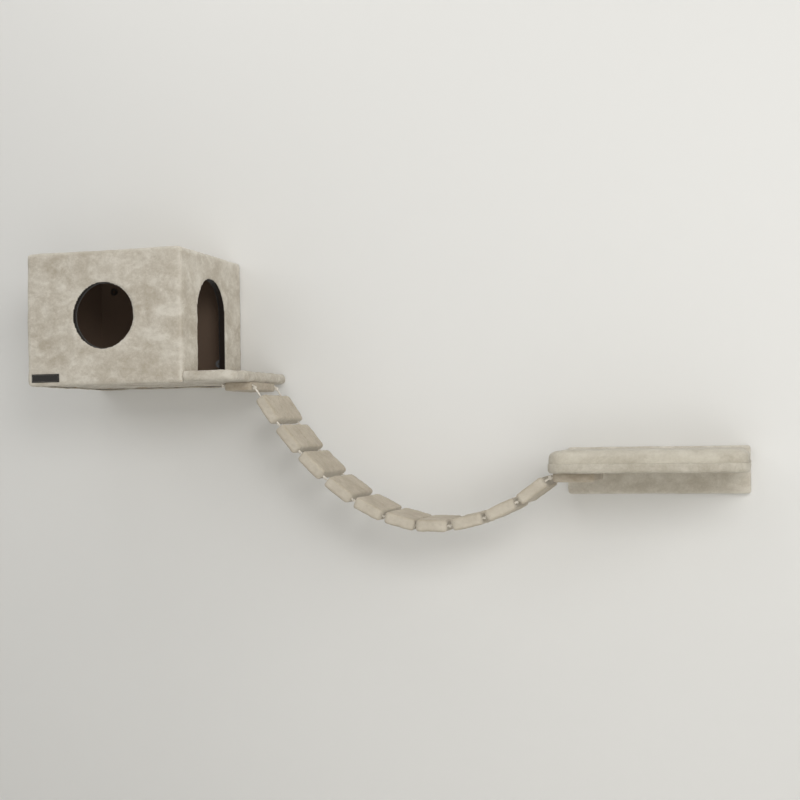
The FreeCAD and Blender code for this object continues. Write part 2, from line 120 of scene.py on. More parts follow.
# ------------------------------------------------------------------------------ node tools
class Graph:
    """Small helper that adds and links nodes of one tree."""

    def __init__(self, tree: bpy.types.NodeTree) -> None:
        """Keeps the tree that nodes go into."""
        self.tree = tree

    def add(self, kind: str, values: dict | None = None, **props: object) -> bpy.types.Node:
        """Adds a node.

        Args:
            kind: Node type without its ShaderNode prefix, or a full type name.
            values: Input values or sockets to link from, by input name or index.
            **props: Attributes to set on the node.

        Returns:
            The new node.
        """
        full = kind if kind.startswith("Node") else "ShaderNode" + kind
        node = self.tree.nodes.new(full)
        for name, value in props.items():
            setattr(node, name, value)
        for key, value in (values or {}).items():
            if isinstance(value, bpy.types.NodeSocket):
                self.tree.links.new(value, node.inputs[key])
            else:
                node.inputs[key].default_value = value
        return node

    def math(self, operation: str, first: object, second: object = 0.0) -> bpy.types.NodeSocket:
        """Output of a Math node over two numbers or sockets."""
        return self.add("Math", {0: first, 1: second}, operation=operation).outputs[0]

    def total(self, parts: list[tuple[bpy.types.NodeSocket, float]]) -> bpy.types.NodeSocket:
        """Sum of sockets, each times its weight."""
        terms = [self.math("MULTIPLY", socket, weight) for socket, weight in parts]
        result = terms[0]
        for term in terms[1:]:
            result = self.math("ADD", result, term)
        return result

    def noise(self, place: bpy.types.NodeSocket, scale: object, detail: float,
              roughness: float = 0.5, distortion: float = 0.0) -> bpy.types.NodeSocket:
        """Value of a Noise texture."""
        values = {"Vector": place, "Scale": scale, "Detail": detail, "Roughness": roughness,
                  "Distortion": distortion}
        return self.add("TexNoise", values).outputs["Fac"]

    def blend(self, mask: bpy.types.NodeSocket, first: object, second: object
              ) -> bpy.types.NodeSocket:
        """Colour that goes from the first to the second by a mask."""
        return self.add("Mix", {0: mask, 6: first, 7: second}, data_type="RGBA").outputs[2]


def start_group(name: str, inputs: dict[str, float], outputs: tuple[str, ...]
                ) -> tuple[Graph, bpy.types.bpy_prop_collection, bpy.types.NodeSocket]:
    """Makes a shader group whose sockets are all numbers.

    Args:
        name: Name of the group.
        inputs: Its inputs and their defaults.
        outputs: Names of its outputs.

    Returns:
        Its graph helper, its inlet's sockets and Object coordinates.
    """
    tree = bpy.data.node_groups.new(name, "ShaderNodeTree")
    for label, default in inputs.items():
        socket = tree.interface.new_socket(label, in_out="INPUT", socket_type="NodeSocketFloat")
        socket.default_value = default
    for label in outputs:
        tree.interface.new_socket(label, in_out="OUTPUT", socket_type="NodeSocketFloat")
    graph = Graph(tree)
    return graph, graph.add("NodeGroupInput").outputs, graph.add("TexCoord").outputs["Object"]


def make_nap_group() -> bpy.types.NodeTree:
    """Brushed nap of plush: wide patches, the pile's lay, its clumps and its fibres."""
    graph, inlet, place = start_group("Plush Nap", {"Scale": 1.0, "Seed": 0.0},
                                      ("Patch", "Height"))
    shift = graph.add("CombineXYZ", {axis: inlet["Seed"] for axis in range(3)}).outputs[0]
    spot = graph.add("VectorMath", {0: place, 1: shift}, operation="ADD").outputs[0]
    brushed = graph.add("Mapping", {"Vector": spot, "Rotation": (0.35, 0.62, 0.4),
                                    "Scale": (0.75, 0.85, 1.1)}).outputs[0]
    wide_scale, lay_scale, clump_scale, fibre_scale = [
        graph.math("MULTIPLY", inlet["Scale"], size) for size in (12.0, 30.0, 130.0, 900.0)]
    wide = graph.noise(brushed, wide_scale, 4.0, 0.6, 0.5)
    lay = graph.noise(brushed, lay_scale, 4.0, 0.62, 0.5)
    clump = graph.noise(spot, clump_scale, 3.0, 0.6, 1.0)
    fibre = graph.noise(spot, fibre_scale, 2.0, 0.7)
    crease = graph.math("ABSOLUTE", graph.math("SUBTRACT", lay, 0.5))
    pile = graph.total([(wide, 0.4), (lay, 0.36), (clump, 0.2), (fibre, 0.05), (crease, 0.12)])
    patch = graph.add("MapRange", {"Value": pile, "From Min": 0.35, "From Max": 0.66},
                      interpolation_type="SMOOTHSTEP").outputs["Result"]
    graph.add("NodeGroupOutput", {"Patch": patch,
                                  "Height": graph.total([(clump, 0.55), (fibre, 0.45)])})
    return graph.tree


def make_chips_group() -> bpy.types.NodeTree:
    """Pressed wood chips and dust of a raw board."""
    graph, inlet, place = start_group("Board Chips", {"Scale": 1.0}, ("Chips", "Height"))
    chip_scale, dust_scale = [graph.math("MULTIPLY", inlet["Scale"], size)
                              for size in (260.0, 900.0)]
    chips = graph.add("TexVoronoi", {"Vector": place, "Scale": chip_scale, "Randomness": 1.0})
    tone = graph.add("SeparateColor", {0: chips.outputs["Color"]}).outputs[0]
    dust = graph.noise(place, dust_scale, 3.0)
    graph.add("NodeGroupOutput", {"Chips": graph.total([(tone, 0.6), (dust, 0.4)]),
                                  "Height": dust})
    return graph.tree


def make_thread_group() -> bpy.types.NodeTree:
    """Fine crossing threads of tape and felt."""
    graph, inlet, place = start_group("Thread Weave", {"Scale": 1.0}, ("Thread", "Height"))
    pitch = graph.math("MULTIPLY", inlet["Scale"], 900.0)
    across, upright = [graph.add("TexWave", {"Vector": place, "Scale": pitch, "Distortion": 0.4},
                                 bands_direction=axis).outputs["Fac"] for axis in "XZ"]
    woven = graph.math("MULTIPLY", across, upright)
    fuzz = graph.noise(place, pitch, 2.0)
    graph.add("NodeGroupOutput", {"Thread": graph.total([(woven, 0.6), (fuzz, 0.4)]),
                                  "Height": woven})
    return graph.tree


GROUPS = {Effect.NAP: make_nap_group(), Effect.CHIPS: make_chips_group(),
          Effect.THREAD: make_thread_group()}


# ------------------------------------------------------------------------------ finishes
def start_material(name: str) -> tuple[bpy.types.Material, Graph, bpy.types.Node]:
    """Makes a material, and returns it with its graph helper and its Principled shader."""
    material = bpy.data.materials.new(name)
    material.use_nodes = True
    graph = Graph(material.node_tree)
    return material, graph, material.node_tree.nodes["Principled BSDF"]


@dataclass(frozen=True)
class Finish:
    """Two colours mixed by a shared effect, with its bump and its gloss."""

    name: str
    dark: Colour
    light: Colour
    scale: float = 1.0
    effect: Effect = Effect.THREAD
    roughness: float = 0.9
    specular: float = 0.2
    sheen: float = 0.0
    sheen_roughness: float = 0.5
    bump: float = 0.3
    bump_depth: float = 0.4 * MM

    def build(self) -> bpy.types.Material:
        """Returns the material."""
        material, graph, shader = start_material(self.name)
        group = graph.add("Group", node_tree=GROUPS[self.effect])
        group.inputs["Scale"].default_value = self.scale
        graph.tree.links.new(self.tint(graph, group), shader.inputs["Base Color"])
        bump = graph.add("Bump", {"Height": group.outputs["Height"], "Strength": self.bump,
                                  "Distance": self.bump_depth})
        graph.tree.links.new(bump.outputs[0], shader.inputs["Normal"])
        shader.inputs["Roughness"].default_value = self.roughness
        shader.inputs["Specular IOR Level"].default_value = self.specular
        shader.inputs["Sheen Weight"].default_value = self.sheen
        shader.inputs["Sheen Roughness"].default_value = self.sheen_roughness
        return material

    def tint(self, graph: Graph, group: bpy.types.Node) -> bpy.types.NodeSocket:
        """The surface's colour: the two colours mixed by the effect."""
        return graph.blend(group.outputs[self.effect.value], self.dark, self.light)


@dataclass(frozen=True)
class PlushFinish(Finish):
    """Short dense plush, with painted sheen on turned edges and painted shade inside an opening.
    """

    effect: Effect = Effect.NAP
    roughness: float = 0.92
    specular: float = 0.18
    sheen: float = 0.2
    sheen_roughness: float = 0.45
    bump: float = 0.55
    bump_depth: float = 2.2 * MM
    seed: float = 0.0
    # Painted sheen highlight where the plush turns over an edge: its colour and its share.
    edge: Colour = (1.0, 1.0, 1.0, 1.0)
    painted_sheen_share: float = 0.0
    # Painted shade inside the openings: its near-black colour and the depth where it is full.
    sleeve: Colour | None = None
    shade_start: float = 0.8 * MM

    def tint(self, graph: Graph, group: bpy.types.Node) -> bpy.types.NodeSocket:
        """The plush's colour: its nap, painted sheen on its turns, painted shade in its openings.
        """
        group.inputs["Seed"].default_value = self.seed
        # Painted sheen highlight: the turn mask mixes in the paler edge colour.
        turned = graph.add("Attribute", attribute_name=EDGE_SHEEN_ATTRIBUTE).outputs["Fac"]
        share = graph.math("MULTIPLY", turned, self.painted_sheen_share)
        colour = graph.blend(share, super().tint(graph, group), self.edge)
        # Painted shade: near black past the lips, deep inside each opening.
        if self.sleeve:
            depth = graph.add("Attribute", attribute_name=SHADE_SLEEVE_ATTRIBUTE).outputs["Fac"]
            inside = graph.add("MapRange", {"Value": depth, "From Max": self.shade_start})
            colour = graph.blend(inside.outputs["Result"], colour, self.sleeve)
        return colour


@dataclass(frozen=True)
class SteelFinish:
    """Zinc plated steel of screws and washers."""

    name: str
    dark: Colour
    light: Colour

    def build(self) -> bpy.types.Material:
        """Returns the plated steel material."""
        material, graph, shader = start_material(self.name)
        place = graph.add("TexCoord").outputs["Object"]
        cloud = graph.noise(place, 400.0, 4.0)
        graph.tree.links.new(graph.blend(cloud, self.dark, self.light),
                             shader.inputs["Base Color"])
        rough = graph.add("MapRange", {"Value": cloud, "To Min": 0.28, "To Max": 0.46})
        graph.tree.links.new(rough.outputs["Result"], shader.inputs["Roughness"])
        shader.inputs["Metallic"].default_value = 1.0
        return material


class Palette:
    """Every finish of the tree, built once."""

    def __init__(self) -> None:
        """Builds the materials."""
        pale = srgb(211, 205, 192)
        dark = srgb(171, 161, 144)
        # Painted sheen highlight: paler colour laid on where the plush turns over an edge.
        edge = srgb(219, 214, 202)
        # House plush: near-black painted shade inside both openings, darker than the felt lining.
        self.house = PlushFinish("House plush", dark, pale, 1.2, edge=edge, painted_sheen_share=0.3,
                                 sleeve=srgb(32, 24, 19)).build()
        self.landing = PlushFinish("Landing plush", srgb(163, 153, 136), srgb(203, 197, 184),
                                   1.5, seed=3.1, edge=edge, painted_sheen_share=0.1).build()
        self.cleat = PlushFinish("Cleat plush", srgb(163, 150, 131), srgb(190, 180, 163),
                                 1.6, seed=5.7).build()
        self.plank = PlushFinish("Plank plush", srgb(163, 151, 131), srgb(188, 178, 160),
                                 1.5, seed=8.3, edge=edge, painted_sheen_share=0.3).build()
        self.shelf = PlushFinish("Shelf plush", srgb(171, 163, 147), srgb(197, 191, 176),
                                 seed=11.9, edge=edge, painted_sheen_share=0.15).build()
        # Painted light: the same plush as the rest, made lighter to stand in for the light that
        # falls on the backboard from below.
        self.back = PlushFinish("Backboard plush", srgb(182, 174, 158), srgb(214, 208, 195),
                                1.3, seed=17.3).build()
        # Painted shade: the same plush made darker, standing in for the shade on the lower part of
        # the shelf.
        self.base = PlushFinish("Base plush", srgb(163, 155, 139), srgb(194, 188, 174),
                                1.2, seed=14.2).build()
        self.lining = Finish("Dark felt", srgb(108, 90, 76), srgb(150, 129, 111), 0.6).build()
        self.tag = Finish("Tag tape", srgb(40, 39, 38), srgb(72, 70, 67)).build()
        self.stitch = self.yarn("Tag thread", srgb(120, 118, 112), srgb(160, 157, 150))
        self.rope = self.yarn("Cotton rope", srgb(200, 193, 179), srgb(234, 229, 218))
        self.board = Finish("Pressed board", srgb(150, 120, 84), srgb(205, 178, 138),
                            effect=Effect.CHIPS, roughness=0.8, specular=0.5, bump=0.2,
                            bump_depth=0.3 * MM).build()
        self.steel = SteelFinish("Zinc steel", srgb(104, 104, 105), srgb(146, 146, 147)).build()

    def yarn(self, name: str, dark: Colour, light: Colour) -> bpy.types.Material:
        """Spun cotton in two colours."""
        return Finish(name, dark, light, 3.0, Effect.NAP, roughness=0.85, specular=0.5,
                      sheen=0.2).build()


# ------------------------------------------------------------------------------ mesh tools
def add_object(name: str, data: bpy.types.ID) -> bpy.types.Object:
    """Puts data into the scene as a new object."""
    made = bpy.data.objects.new(name, data)
    bpy.context.scene.collection.objects.link(made)
    return made


def shown_mesh(piece: bpy.types.Object) -> bpy.types.Mesh:
    """Mesh of an object as its modifiers or its bevel show it."""
    bpy.context.view_layer.update()
    graph = bpy.context.evaluated_depsgraph_get()
    return bpy.data.meshes.new_from_object(piece.evaluated_get(graph))


def link_mesh(name: str, shape: bmesh.types.BMesh, material: bpy.types.Material
              ) -> bpy.types.Object:
    """Turns a bmesh, which is freed, into a smooth scene object with one finish."""
    mesh = bpy.data.meshes.new(name)
    bmesh.ops.recalc_face_normals(shape, faces=shape.faces[:])
    shape.to_mesh(mesh)
    shape.free()
    mesh.materials.append(material)
    mesh.polygons.foreach_set("use_smooth", [True] * len(mesh.polygons))
    return add_object(name, mesh)


def bake_modifiers(piece: bpy.types.Object) -> bpy.types.Object:
    """Applies every modifier of a mesh piece and returns it."""
    old = piece.data
    new = shown_mesh(piece)
    new.name = piece.name
    piece.modifiers.clear()
    piece.data = new
    bpy.data.meshes.remove(old)
    return piece


def remesh(piece: bpy.types.Object, voxel: float) -> None:
    """Gives a closed piece an even fine mesh, and smooths the voxel steps out."""
    material = piece.data.materials[0]
    even = piece.modifiers.new("even", "REMESH")
    even.mode = "VOXEL"
    even.voxel_size = voxel
    even.use_smooth_shade = True
    relax = piece.modifiers.new("relax", "SMOOTH")
    relax.factor = 0.5
    relax.iterations = 2
    bake_modifiers(piece)
    if not piece.data.materials:
        piece.data.materials.append(material)


def ruffle(piece: bpy.types.Object, layers: list[tuple[float, float]], seed: float,
           lift: float = 0.5 * MM) -> None:
    """Moves each vertex along its normal by smooth noise, as plush lies unevenly.

    Args:
        piece: The piece, with an even mesh.
        layers: Pairs of feature size and height, in metres.
        seed: Shift of the noise, so that pieces differ.
        lift: Even rise of the pile, which keeps it off the board beneath.
    """
    mesh = piece.data
    count = len(mesh.vertices)
    spots = np.empty(count * 3)
    normals = np.empty(count * 3)
    mesh.vertices.foreach_get("co", spots)
    mesh.vertex_normals.foreach_get("vector", normals)
    spots = spots.reshape(-1, 3)
    shift = np.array((seed, seed * 1.7, seed * 0.6))
    push = np.full(count, lift)
    for feature, height in layers:
        push += [height * noise.noise(Vector(spot)) for spot in (spots + shift) / feature]
    spots += normals.reshape(-1, 3) * push[:, None]
    mesh.vertices.foreach_set("co", spots.ravel())
    mesh.update()


def mark_painted_sheen(piece: bpy.types.Object, flat_axes: str, gain: float = 3.0) -> None:
    """Notes in an attribute where the plush turns over an edge, the mask of its painted sheen.

    Args:
        piece: The piece, in its own straight place.
        flat_axes: Axes whose faces count as flat.
        gain: How fast the note grows as the surface turns away from them.
    """
    mesh = piece.data
    normals = np.empty(len(mesh.vertices) * 3)
    mesh.vertex_normals.foreach_get("vector", normals)
    sides = np.abs(normals.reshape(-1, 3))[:, ["xyz".index(axis) for axis in flat_axes]]
    turned = np.clip((1 - sides.max(axis=1)) * gain, 0, 1)
    note = mesh.attributes.new(EDGE_SHEEN_ATTRIBUTE, "FLOAT", "POINT")
    note.data.foreach_set("value", turned.astype(np.float32))


def block(low: Vector, high: Vector) -> bmesh.types.BMesh:
    """Plain box between two corners, the start of other shapes."""
    shape = bmesh.new()
    bmesh.ops.create_cube(shape, size=1.0)
    bmesh.ops.scale(shape, vec=high - low, verts=shape.verts)
    bmesh.ops.translate(shape, vec=(low + high) / 2, verts=shape.verts)
    return shape


def round_edges(shape: bmesh.types.BMesh, edges: list, radius: float, steps: int) -> None:
    """Rounds edges of a shape."""
    bmesh.ops.bevel(shape, geom=edges, offset=radius, segments=steps, profile=0.5,
                    affect="EDGES", material=-1)


def is_upright(edge: bmesh.types.BMEdge) -> bool:
    """Whether an edge of a plain box runs along Z."""
    return abs((edge.verts[0].co - edge.verts[1].co).normalized().z) > 0.99


def is_rim(edge: bmesh.types.BMEdge) -> bool:
    """Whether a level face and an upright one meet at an edge."""
    return len({round(face.normal.z, 2) for face in edge.link_faces}) > 1


def slab(size: Vector, corner: float, rim: float) -> bmesh.types.BMesh:
    """Flat board about the origin, with rounded plan corners and rounded rims.

    Args:
        size: Its length along X, Y and Z.
        corner: Radius of its plan corners.
        rim: Radius of its top and bottom rims.

    Returns:
        The bmesh.
    """
    shape = block(-size / 2, size / 2)
    round_edges(shape, [e for e in shape.edges if is_upright(e)], corner, 5)
    half = size.z / 2
    rims = [e for e in shape.edges
            if all(abs(abs(v.co.z) - half) < TINY for v in e.verts) and is_rim(e)]
    round_edges(shape, rims, rim, 4)
    return shape


def cut_plane(shape: bmesh.types.BMesh, place: Vector, normal: tuple[int, int, int],
              clear: bool = False) -> list:
    """Cuts a whole shape at a plane.

    Args:
        shape: The shape.
        place: A point of the plane.
        normal: Its normal.
        clear: Whether what lies past the plane is taken away.

    Returns:
        The vertices and edges in the cut.
    """
    everything = shape.verts[:] + shape.edges[:] + shape.faces[:]
    return bmesh.ops.bisect_plane(shape, geom=everything, dist=TINY, plane_co=place,
                                  plane_no=normal, clear_outer=clear)["geom_cut"]


def thicken(piece: bpy.types.Object, thickness: float, offset: float = -1.0) -> None:
    """Gives a skin its thickness, inwards unless the offset says otherwise."""
    skin = piece.modifiers.new("skin", "SOLIDIFY")
    skin.thickness = thickness
    skin.offset = offset


def place_shape(shape: bmesh.types.BMesh, matrix: Matrix) -> bmesh.types.BMesh:
    """Puts a bmesh where a matrix says and returns it."""
    bmesh.ops.transform(shape, matrix=matrix, verts=shape.verts)
    return shape


def box_centre(node: str) -> Vector:
    """Centre of a node's box."""
    low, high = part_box(node)
    return (low + high) / 2


def box_size(node: str) -> Vector:
    """Size of a node's box."""
    low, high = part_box(node)
    return high - low


def dress(piece: bpy.types.Object, body: str = FRAME_BODY,
          replaces: tuple[str, ...] = ()) -> bpy.types.Object:
    """Hides the nodes that a piece stands for and puts it on the body that it rides on.

    Args:
        piece: The finished piece.
        body: Body that it moves with.
        replaces: Nodes that it stands for.

    Returns:
        The piece.
    """
    if replaces:
        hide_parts(*replaces)
    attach(piece, body)
    log.info("piece %s on %s: %d faces", piece.name, body, len(piece.data.polygons))
    return piece


def carve(piece: bpy.types.Object, cutters: list[bpy.types.Object]) -> None:
    """Cuts closed meshes out of a piece and removes the cutters."""
    for index, cutter in enumerate(cutters):
        cut = piece.modifiers.new("cut%d" % index, "BOOLEAN")
        cut.operation = "DIFFERENCE"
        cut.solver = "EXACT"
        cut.object = cutter
    bake_modifiers(piece)
    for cutter in cutters:
        bpy.data.objects.remove(cutter)


# ------------------------------------------------------------------------------ ropes
def add_spline(curve: bpy.types.Curve, kind: str, line: list[Vector]) -> bpy.types.Spline:
    """Adds a spline with the given points to a curve and returns it."""
    spline = curve.splines.new(kind)
    spline.points.add(len(line) - 1)
    for target, point in zip(spline.points, line):
        target.co = (point.x, point.y, point.z, 1.0)
    return spline


def curve_mesh(curve: bpy.types.Curve) -> bpy.types.Mesh:
    """Mesh that a curve shows. The curve is removed."""
    holder = add_object(curve.name, curve)
    mesh = shown_mesh(holder)
    bpy.data.objects.remove(holder)
    bpy.data.curves.remove(curve)
    return mesh


def smooth_route(points: list[Vector]) -> list[Vector]:
    """Points of the smooth NURBS line that a few control points lead."""
    curve = bpy.data.curves.new("route", "CURVE")
    curve.dimensions = "3D"
    curve.resolution_u = 8
    spline = add_spline(curve, "NURBS", points)
    spline.order_u = 3
    spline.use_endpoint_u = True
    mesh = curve_mesh(curve)
    line = [vertex.co.copy() for vertex in mesh.vertices]
    bpy.data.meshes.remove(mesh)
    return line


def even_points(line: list[Vector], step: float) -> list[Vector]:
    """Points spaced evenly along a line.

    Args:
        line: Points of the line.
        step: Wanted spacing.

    Returns:
        The evenly spaced points, both ends included.
    """
    lengths = [0.0]
    for first, second in zip(line, line[1:]):
        lengths.append(lengths[-1] + (second - first).length)
    count = max(2, round(lengths[-1] / step))
    stops = np.linspace(0.0, lengths[-1], count + 1)
    rows = [np.interp(stops, lengths, [point[axis] for point in line]) for axis in range(3)]
    return [Vector(values) for values in zip(*rows)]


def tube_curve(name: str, lines: list[list[Vector]], radius: float, closed: bool = False,
               sides: int = 3) -> bpy.types.Object:
    """Round tubes along several lines, as one mesh object without a material.

    Args:
        name: Name of the object.
        lines: Points of each tube's middle line.
        radius: Radius of the tubes.
        closed: Whether each line closes on itself.
        sides: Bevel resolution of the tube.

    Returns:
        The mesh object.
    """
    curve = bpy.data.curves.new(name + "_curve", "CURVE")
    curve.dimensions = "3D"
    curve.bevel_depth = radius
    curve.bevel_resolution = sides
    curve.use_fill_caps = True
    for line in lines:
        spline = add_spline(curve, "POLY", line)
        spline.use_cyclic_u = closed
        spline.use_smooth = True
    return add_object(name, curve_mesh(curve))


def strand_lines(route: list[Vector], lay_radius: float, pitch: float) -> list[list[Vector]]:
    """Middle lines of the strands that twist round a rope's route.

    Args:
        route: Evenly spaced points of the rope.
        lay_radius: Distance of a strand's middle from the rope's.
        pitch: Length of one twist.

    Returns:
        One list of points per strand.
    """
    side = Vector((0, 1, 0))
    lines = [[] for _ in range(STRANDS)]
    travelled = 0.0
    for index, point in enumerate(route):
        ahead = route[min(index + 1, len(route) - 1)] - route[max(index - 1, 0)]
        along = ahead.normalized()
        if index:
            travelled += (point - route[index - 1]).length
        first = (side - along * side.dot(along)).normalized()
        second = along.cross(first)
        for strand in range(STRANDS):
            angle = 2 * math.pi * (travelled / pitch + strand / STRANDS)
            lines[strand].append(point + lay_radius * (first * math.cos(angle)
                                                       + second * math.sin(angle)))
    return lines


def knot_line(centre: Vector, turn: Matrix, size: float) -> list[Vector]:
    """Closed trefoil line, the shape of a pulled overhand knot.

    Args:
        centre: Middle of the knot.
        turn: Rotation of the knot.
        size: Radius that the line keeps within.

    Returns:
        The closed line's points.
    """
    line = []
    count = 40
    for index in range(count):
        angle = 2 * math.pi * index / count
        local = Vector((math.sin(angle) + 2 * math.sin(2 * angle),
                        math.cos(angle) - 2 * math.cos(2 * angle),
                        -1.6 * math.sin(3 * angle)))
        line.append(centre + turn @ (local * (size / 3.0)))
    return line


def join_meshes(name: str, parts: list[bpy.types.Object],
                material: bpy.types.Material) -> bpy.types.Object:
    """Joins meshes into one piece with one finish.

    Args:
        name: Name of the piece.
        parts: Mesh objects, which are removed.
        material: Finish of the piece.

    Returns:
        The joined piece.
    """
    shape = bmesh.new()
    for part in parts:
        shape.from_mesh(part.data)
        bpy.data.objects.remove(part)
    bmesh.ops.remove_doubles(shape, verts=shape.verts, dist=TINY)
    return link_mesh(name, shape, material)


@dataclass
class RopeMaker:
    """Makes the knotted lengths of the bridge's ropes."""

    material: bpy.types.Material
    radius: float = 2.3 * MM
    pitch: float = 11 * MM
    knot_reach: float = 2.5 * MM
    knot_cord: float = 1.2 * MM
    strand_share: float = 0.54
    step: float = 1.4 * MM

    def knot(self, name: str, centre: Vector, along: Vector, scale: float) -> bpy.types.Object:
        """A pulled knot round the rope.

        Args:
            name: Name of the mesh.
            centre: Middle of the knot.
            along: Direction of the rope there.
            scale: Size against the usual knot.

        Returns:
            The knot's mesh object.
        """
        turn = along.to_track_quat("Z", "Y").to_matrix()
        line = knot_line(centre, turn, self.knot_reach * scale)
        return tube_curve(name, [line], self.knot_cord * scale, closed=True)

    def length(self, name: str, points: list[Vector], knots: list[tuple[Vector, Vector, float]]
               ) -> bpy.types.Object:
        """A twisted length of rope with its knots.

        Args:
            name: Name of the piece.
            points: Control points of the rope's route.
            knots: Middle, direction and scale of each knot.

        Returns:
            The piece.
        """
        route = even_points(smooth_route(points), self.step)
        strand_radius = self.radius * self.strand_share
        lines = strand_lines(route, self.radius - strand_radius, self.pitch)
        parts = [tube_curve(name + "_strands", lines, strand_radius)]
        for index, (centre, along, scale) in enumerate(knots):
            parts.append(self.knot("%s_knot%d" % (name, index), centre, along, scale))
        return join_meshes(name, parts, self.material)


# ------------------------------------------------------------------------------ house
@dataclass
class House:
    """The plush box with its round front opening and arched side opening."""

    palette: Palette
    door_radius: float = 77.5 * MM
    door_rise: float = 5 * MM
    arch_radius: float = 83 * MM
    arch_height: float = 233.5 * MM
    arch_middle: float = -178 * MM
    edge_radius: float = 9 * MM
    lip: float = 3.5 * MM
    door_lip: float = 3.0 * MM
    arch_lip: float = 3.5 * MM
    lip_roll: float = 0.45
    voxel: float = 4.0 * MM
    wall: float = 17 * MM
    pocket: float = 30 * MM
    cut_slack: float = 4 * MM
    panel_rim: float = 15 * MM
    back_rim: float = 12 * MM
    under_depth: float = 6 * MM
    rear_gap: float = 0.5 * MM
    sleeve_slack: float = 3 * MM
    tag_margin: float = 8 * MM
    tag_sink: float = 0.3 * MM
    tag_slope: float = 3 * MM
    low: Vector = field(default_factory=lambda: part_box("house_cover")[0])
    high: Vector = field(default_factory=lambda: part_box("house_cover")[1])

    def build(self) -> None:
        """Builds and dresses every piece of the house."""
        self.build_cover()
        self.build_lining()
        self.build_tag()
        for node in ("house_front_panel", "house_back_panel", "house_left_panel",
                     "house_right_panel", "house_roof_panel"):
            dress_node(node, self.palette.board)
        for node in ("house_screws", "house_washers"):
            dress_node(node, self.palette.steel)

    def door_cutter(self, radius: float, y_low: float, y_high: float) -> bpy.types.Object:
        """Cylinder through the front wall."""
        shape = bmesh.new()
        bmesh.ops.create_cone(shape, cap_ends=True, segments=96, radius1=radius, radius2=radius,
                              depth=y_high - y_low)
        middle = Vector((0, (y_low + y_high) / 2, self.door_rise))
        place_shape(shape, Matrix.Translation(middle) @ UPRIGHT)
        return link_mesh("door_cutter", shape, self.palette.house)

    def arch_cutter(self, radius: float, x_low: float, x_high: float,
                    z_low: float) -> bpy.types.Object:
        """Arched prism through the right wall, round at its top and square below."""
        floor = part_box("floor_cover")[1].z
        spring = floor + self.arch_height - self.arch_radius
        shape = bmesh.new()
        bmesh.ops.create_circle(shape, cap_ends=True, segments=96, radius=radius)
        below = [v for v in shape.verts if v.co.y < -1e-5]
        for vertex in below:
            vertex.co.y = z_low - spring
            vertex.co.x = math.copysign(radius, vertex.co.x) if abs(vertex.co.x) > TINY else 0.0
        bmesh.ops.remove_doubles(shape, verts=shape.verts, dist=TINY)
        made = bmesh.ops.extrude_face_region(shape, geom=shape.faces[:])
        moved = [v for v in made["geom"] if isinstance(v, bmesh.types.BMVert)]
        bmesh.ops.translate(shape, vec=(0, 0, x_high - x_low), verts=moved)
        turn = Matrix(((0, 0, 1, x_low), (1, 0, 0, self.arch_middle), (0, 1, 0, spring),
                       (0, 0, 0, 1)))
        place_shape(shape, turn)
        return link_mesh("arch_cutter", shape, self.palette.house)

    def build_cover(self) -> None:
        """Plush skin: an even soft shell turned in through both openings."""
        rear = self.high.y + self.wall
        shape = block(self.low, Vector((self.high.x, rear, self.high.z)))
        edges = [e for e in shape.edges if not all(abs(v.co.y - rear) < TINY for v in e.verts)]
        round_edges(shape, edges, self.edge_radius, 5)
        cover = link_mesh("house_plush", shape, self.palette.house)
        depth = self.wall + 3 * self.voxel
        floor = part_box("floor_cover")[1].z
        front = self.low.y
        right = self.high.x
        carve(cover, [
            self.door_cutter(self.door_radius, front - self.wall, front + depth),
            self.arch_cutter(self.arch_radius, right - depth, right + self.wall, floor - depth),
        ])
        remesh(cover, self.voxel)
        self.trim_cover(cover, front + self.wall, right - self.wall, floor)
        self.round_lips(cover)
        mark_painted_sheen(cover, "xyz")
        ruffle(cover, [(60 * MM, 1.4 * MM), (20 * MM, 0.9 * MM), (8 * MM, 0.4 * MM)], 0.3)
        self.press_tag_seat(cover)
        thicken(cover, 2.2 * MM)
        bake_modifiers(cover)
        self.note_sleeves(cover, floor)
        dress(cover, replaces=("house_cover",))

    def trim_cover(self, cover: bpy.types.Object, pocket_y: float, pocket_x: float,
                   floor: float) -> None:
        """Takes away the pocket bottoms, the rear and the underside.

        Args:
            cover: The closed remeshed body.
            pocket_y: Depth at which the round opening's sleeve ends.
            pocket_x: Plane at which the arched opening's sleeve ends.
            floor: Height of the floor's top.
        """
        shape = bmesh.new()
        shape.from_mesh(cover.data)
        gone = []
        for face in shape.faces:
            spot = face.calc_center_median()
            in_door = (math.hypot(spot.x, spot.z - self.door_rise)
                       < self.door_radius + self.cut_slack
                       and pocket_y < spot.y < pocket_y + self.pocket)
            in_arch = (abs(spot.y - self.arch_middle) < self.arch_radius + self.cut_slack
                       and spot.z < floor + self.arch_height + self.cut_slack
                       and pocket_x - self.pocket < spot.x < pocket_x)
            between_panels = self.low.y + self.panel_rim < spot.y < -self.back_rim
            under = (between_panels and spot.z < self.low.z + self.under_depth
                     and spot.x > self.low.x + self.panel_rim)
            beneath_landing = (between_panels and spot.z < floor
                               and spot.x > self.high.x - self.pocket)
            if in_door or in_arch or under or beneath_landing:
                gone.append(face)
        bmesh.ops.delete(shape, geom=gone, context="FACES")
        rear = Vector((0, self.high.y - self.rear_gap, 0))
        cut_plane(shape, rear, (0, 1, 0), clear=True)
        shape.to_mesh(cover.data)
        shape.free()

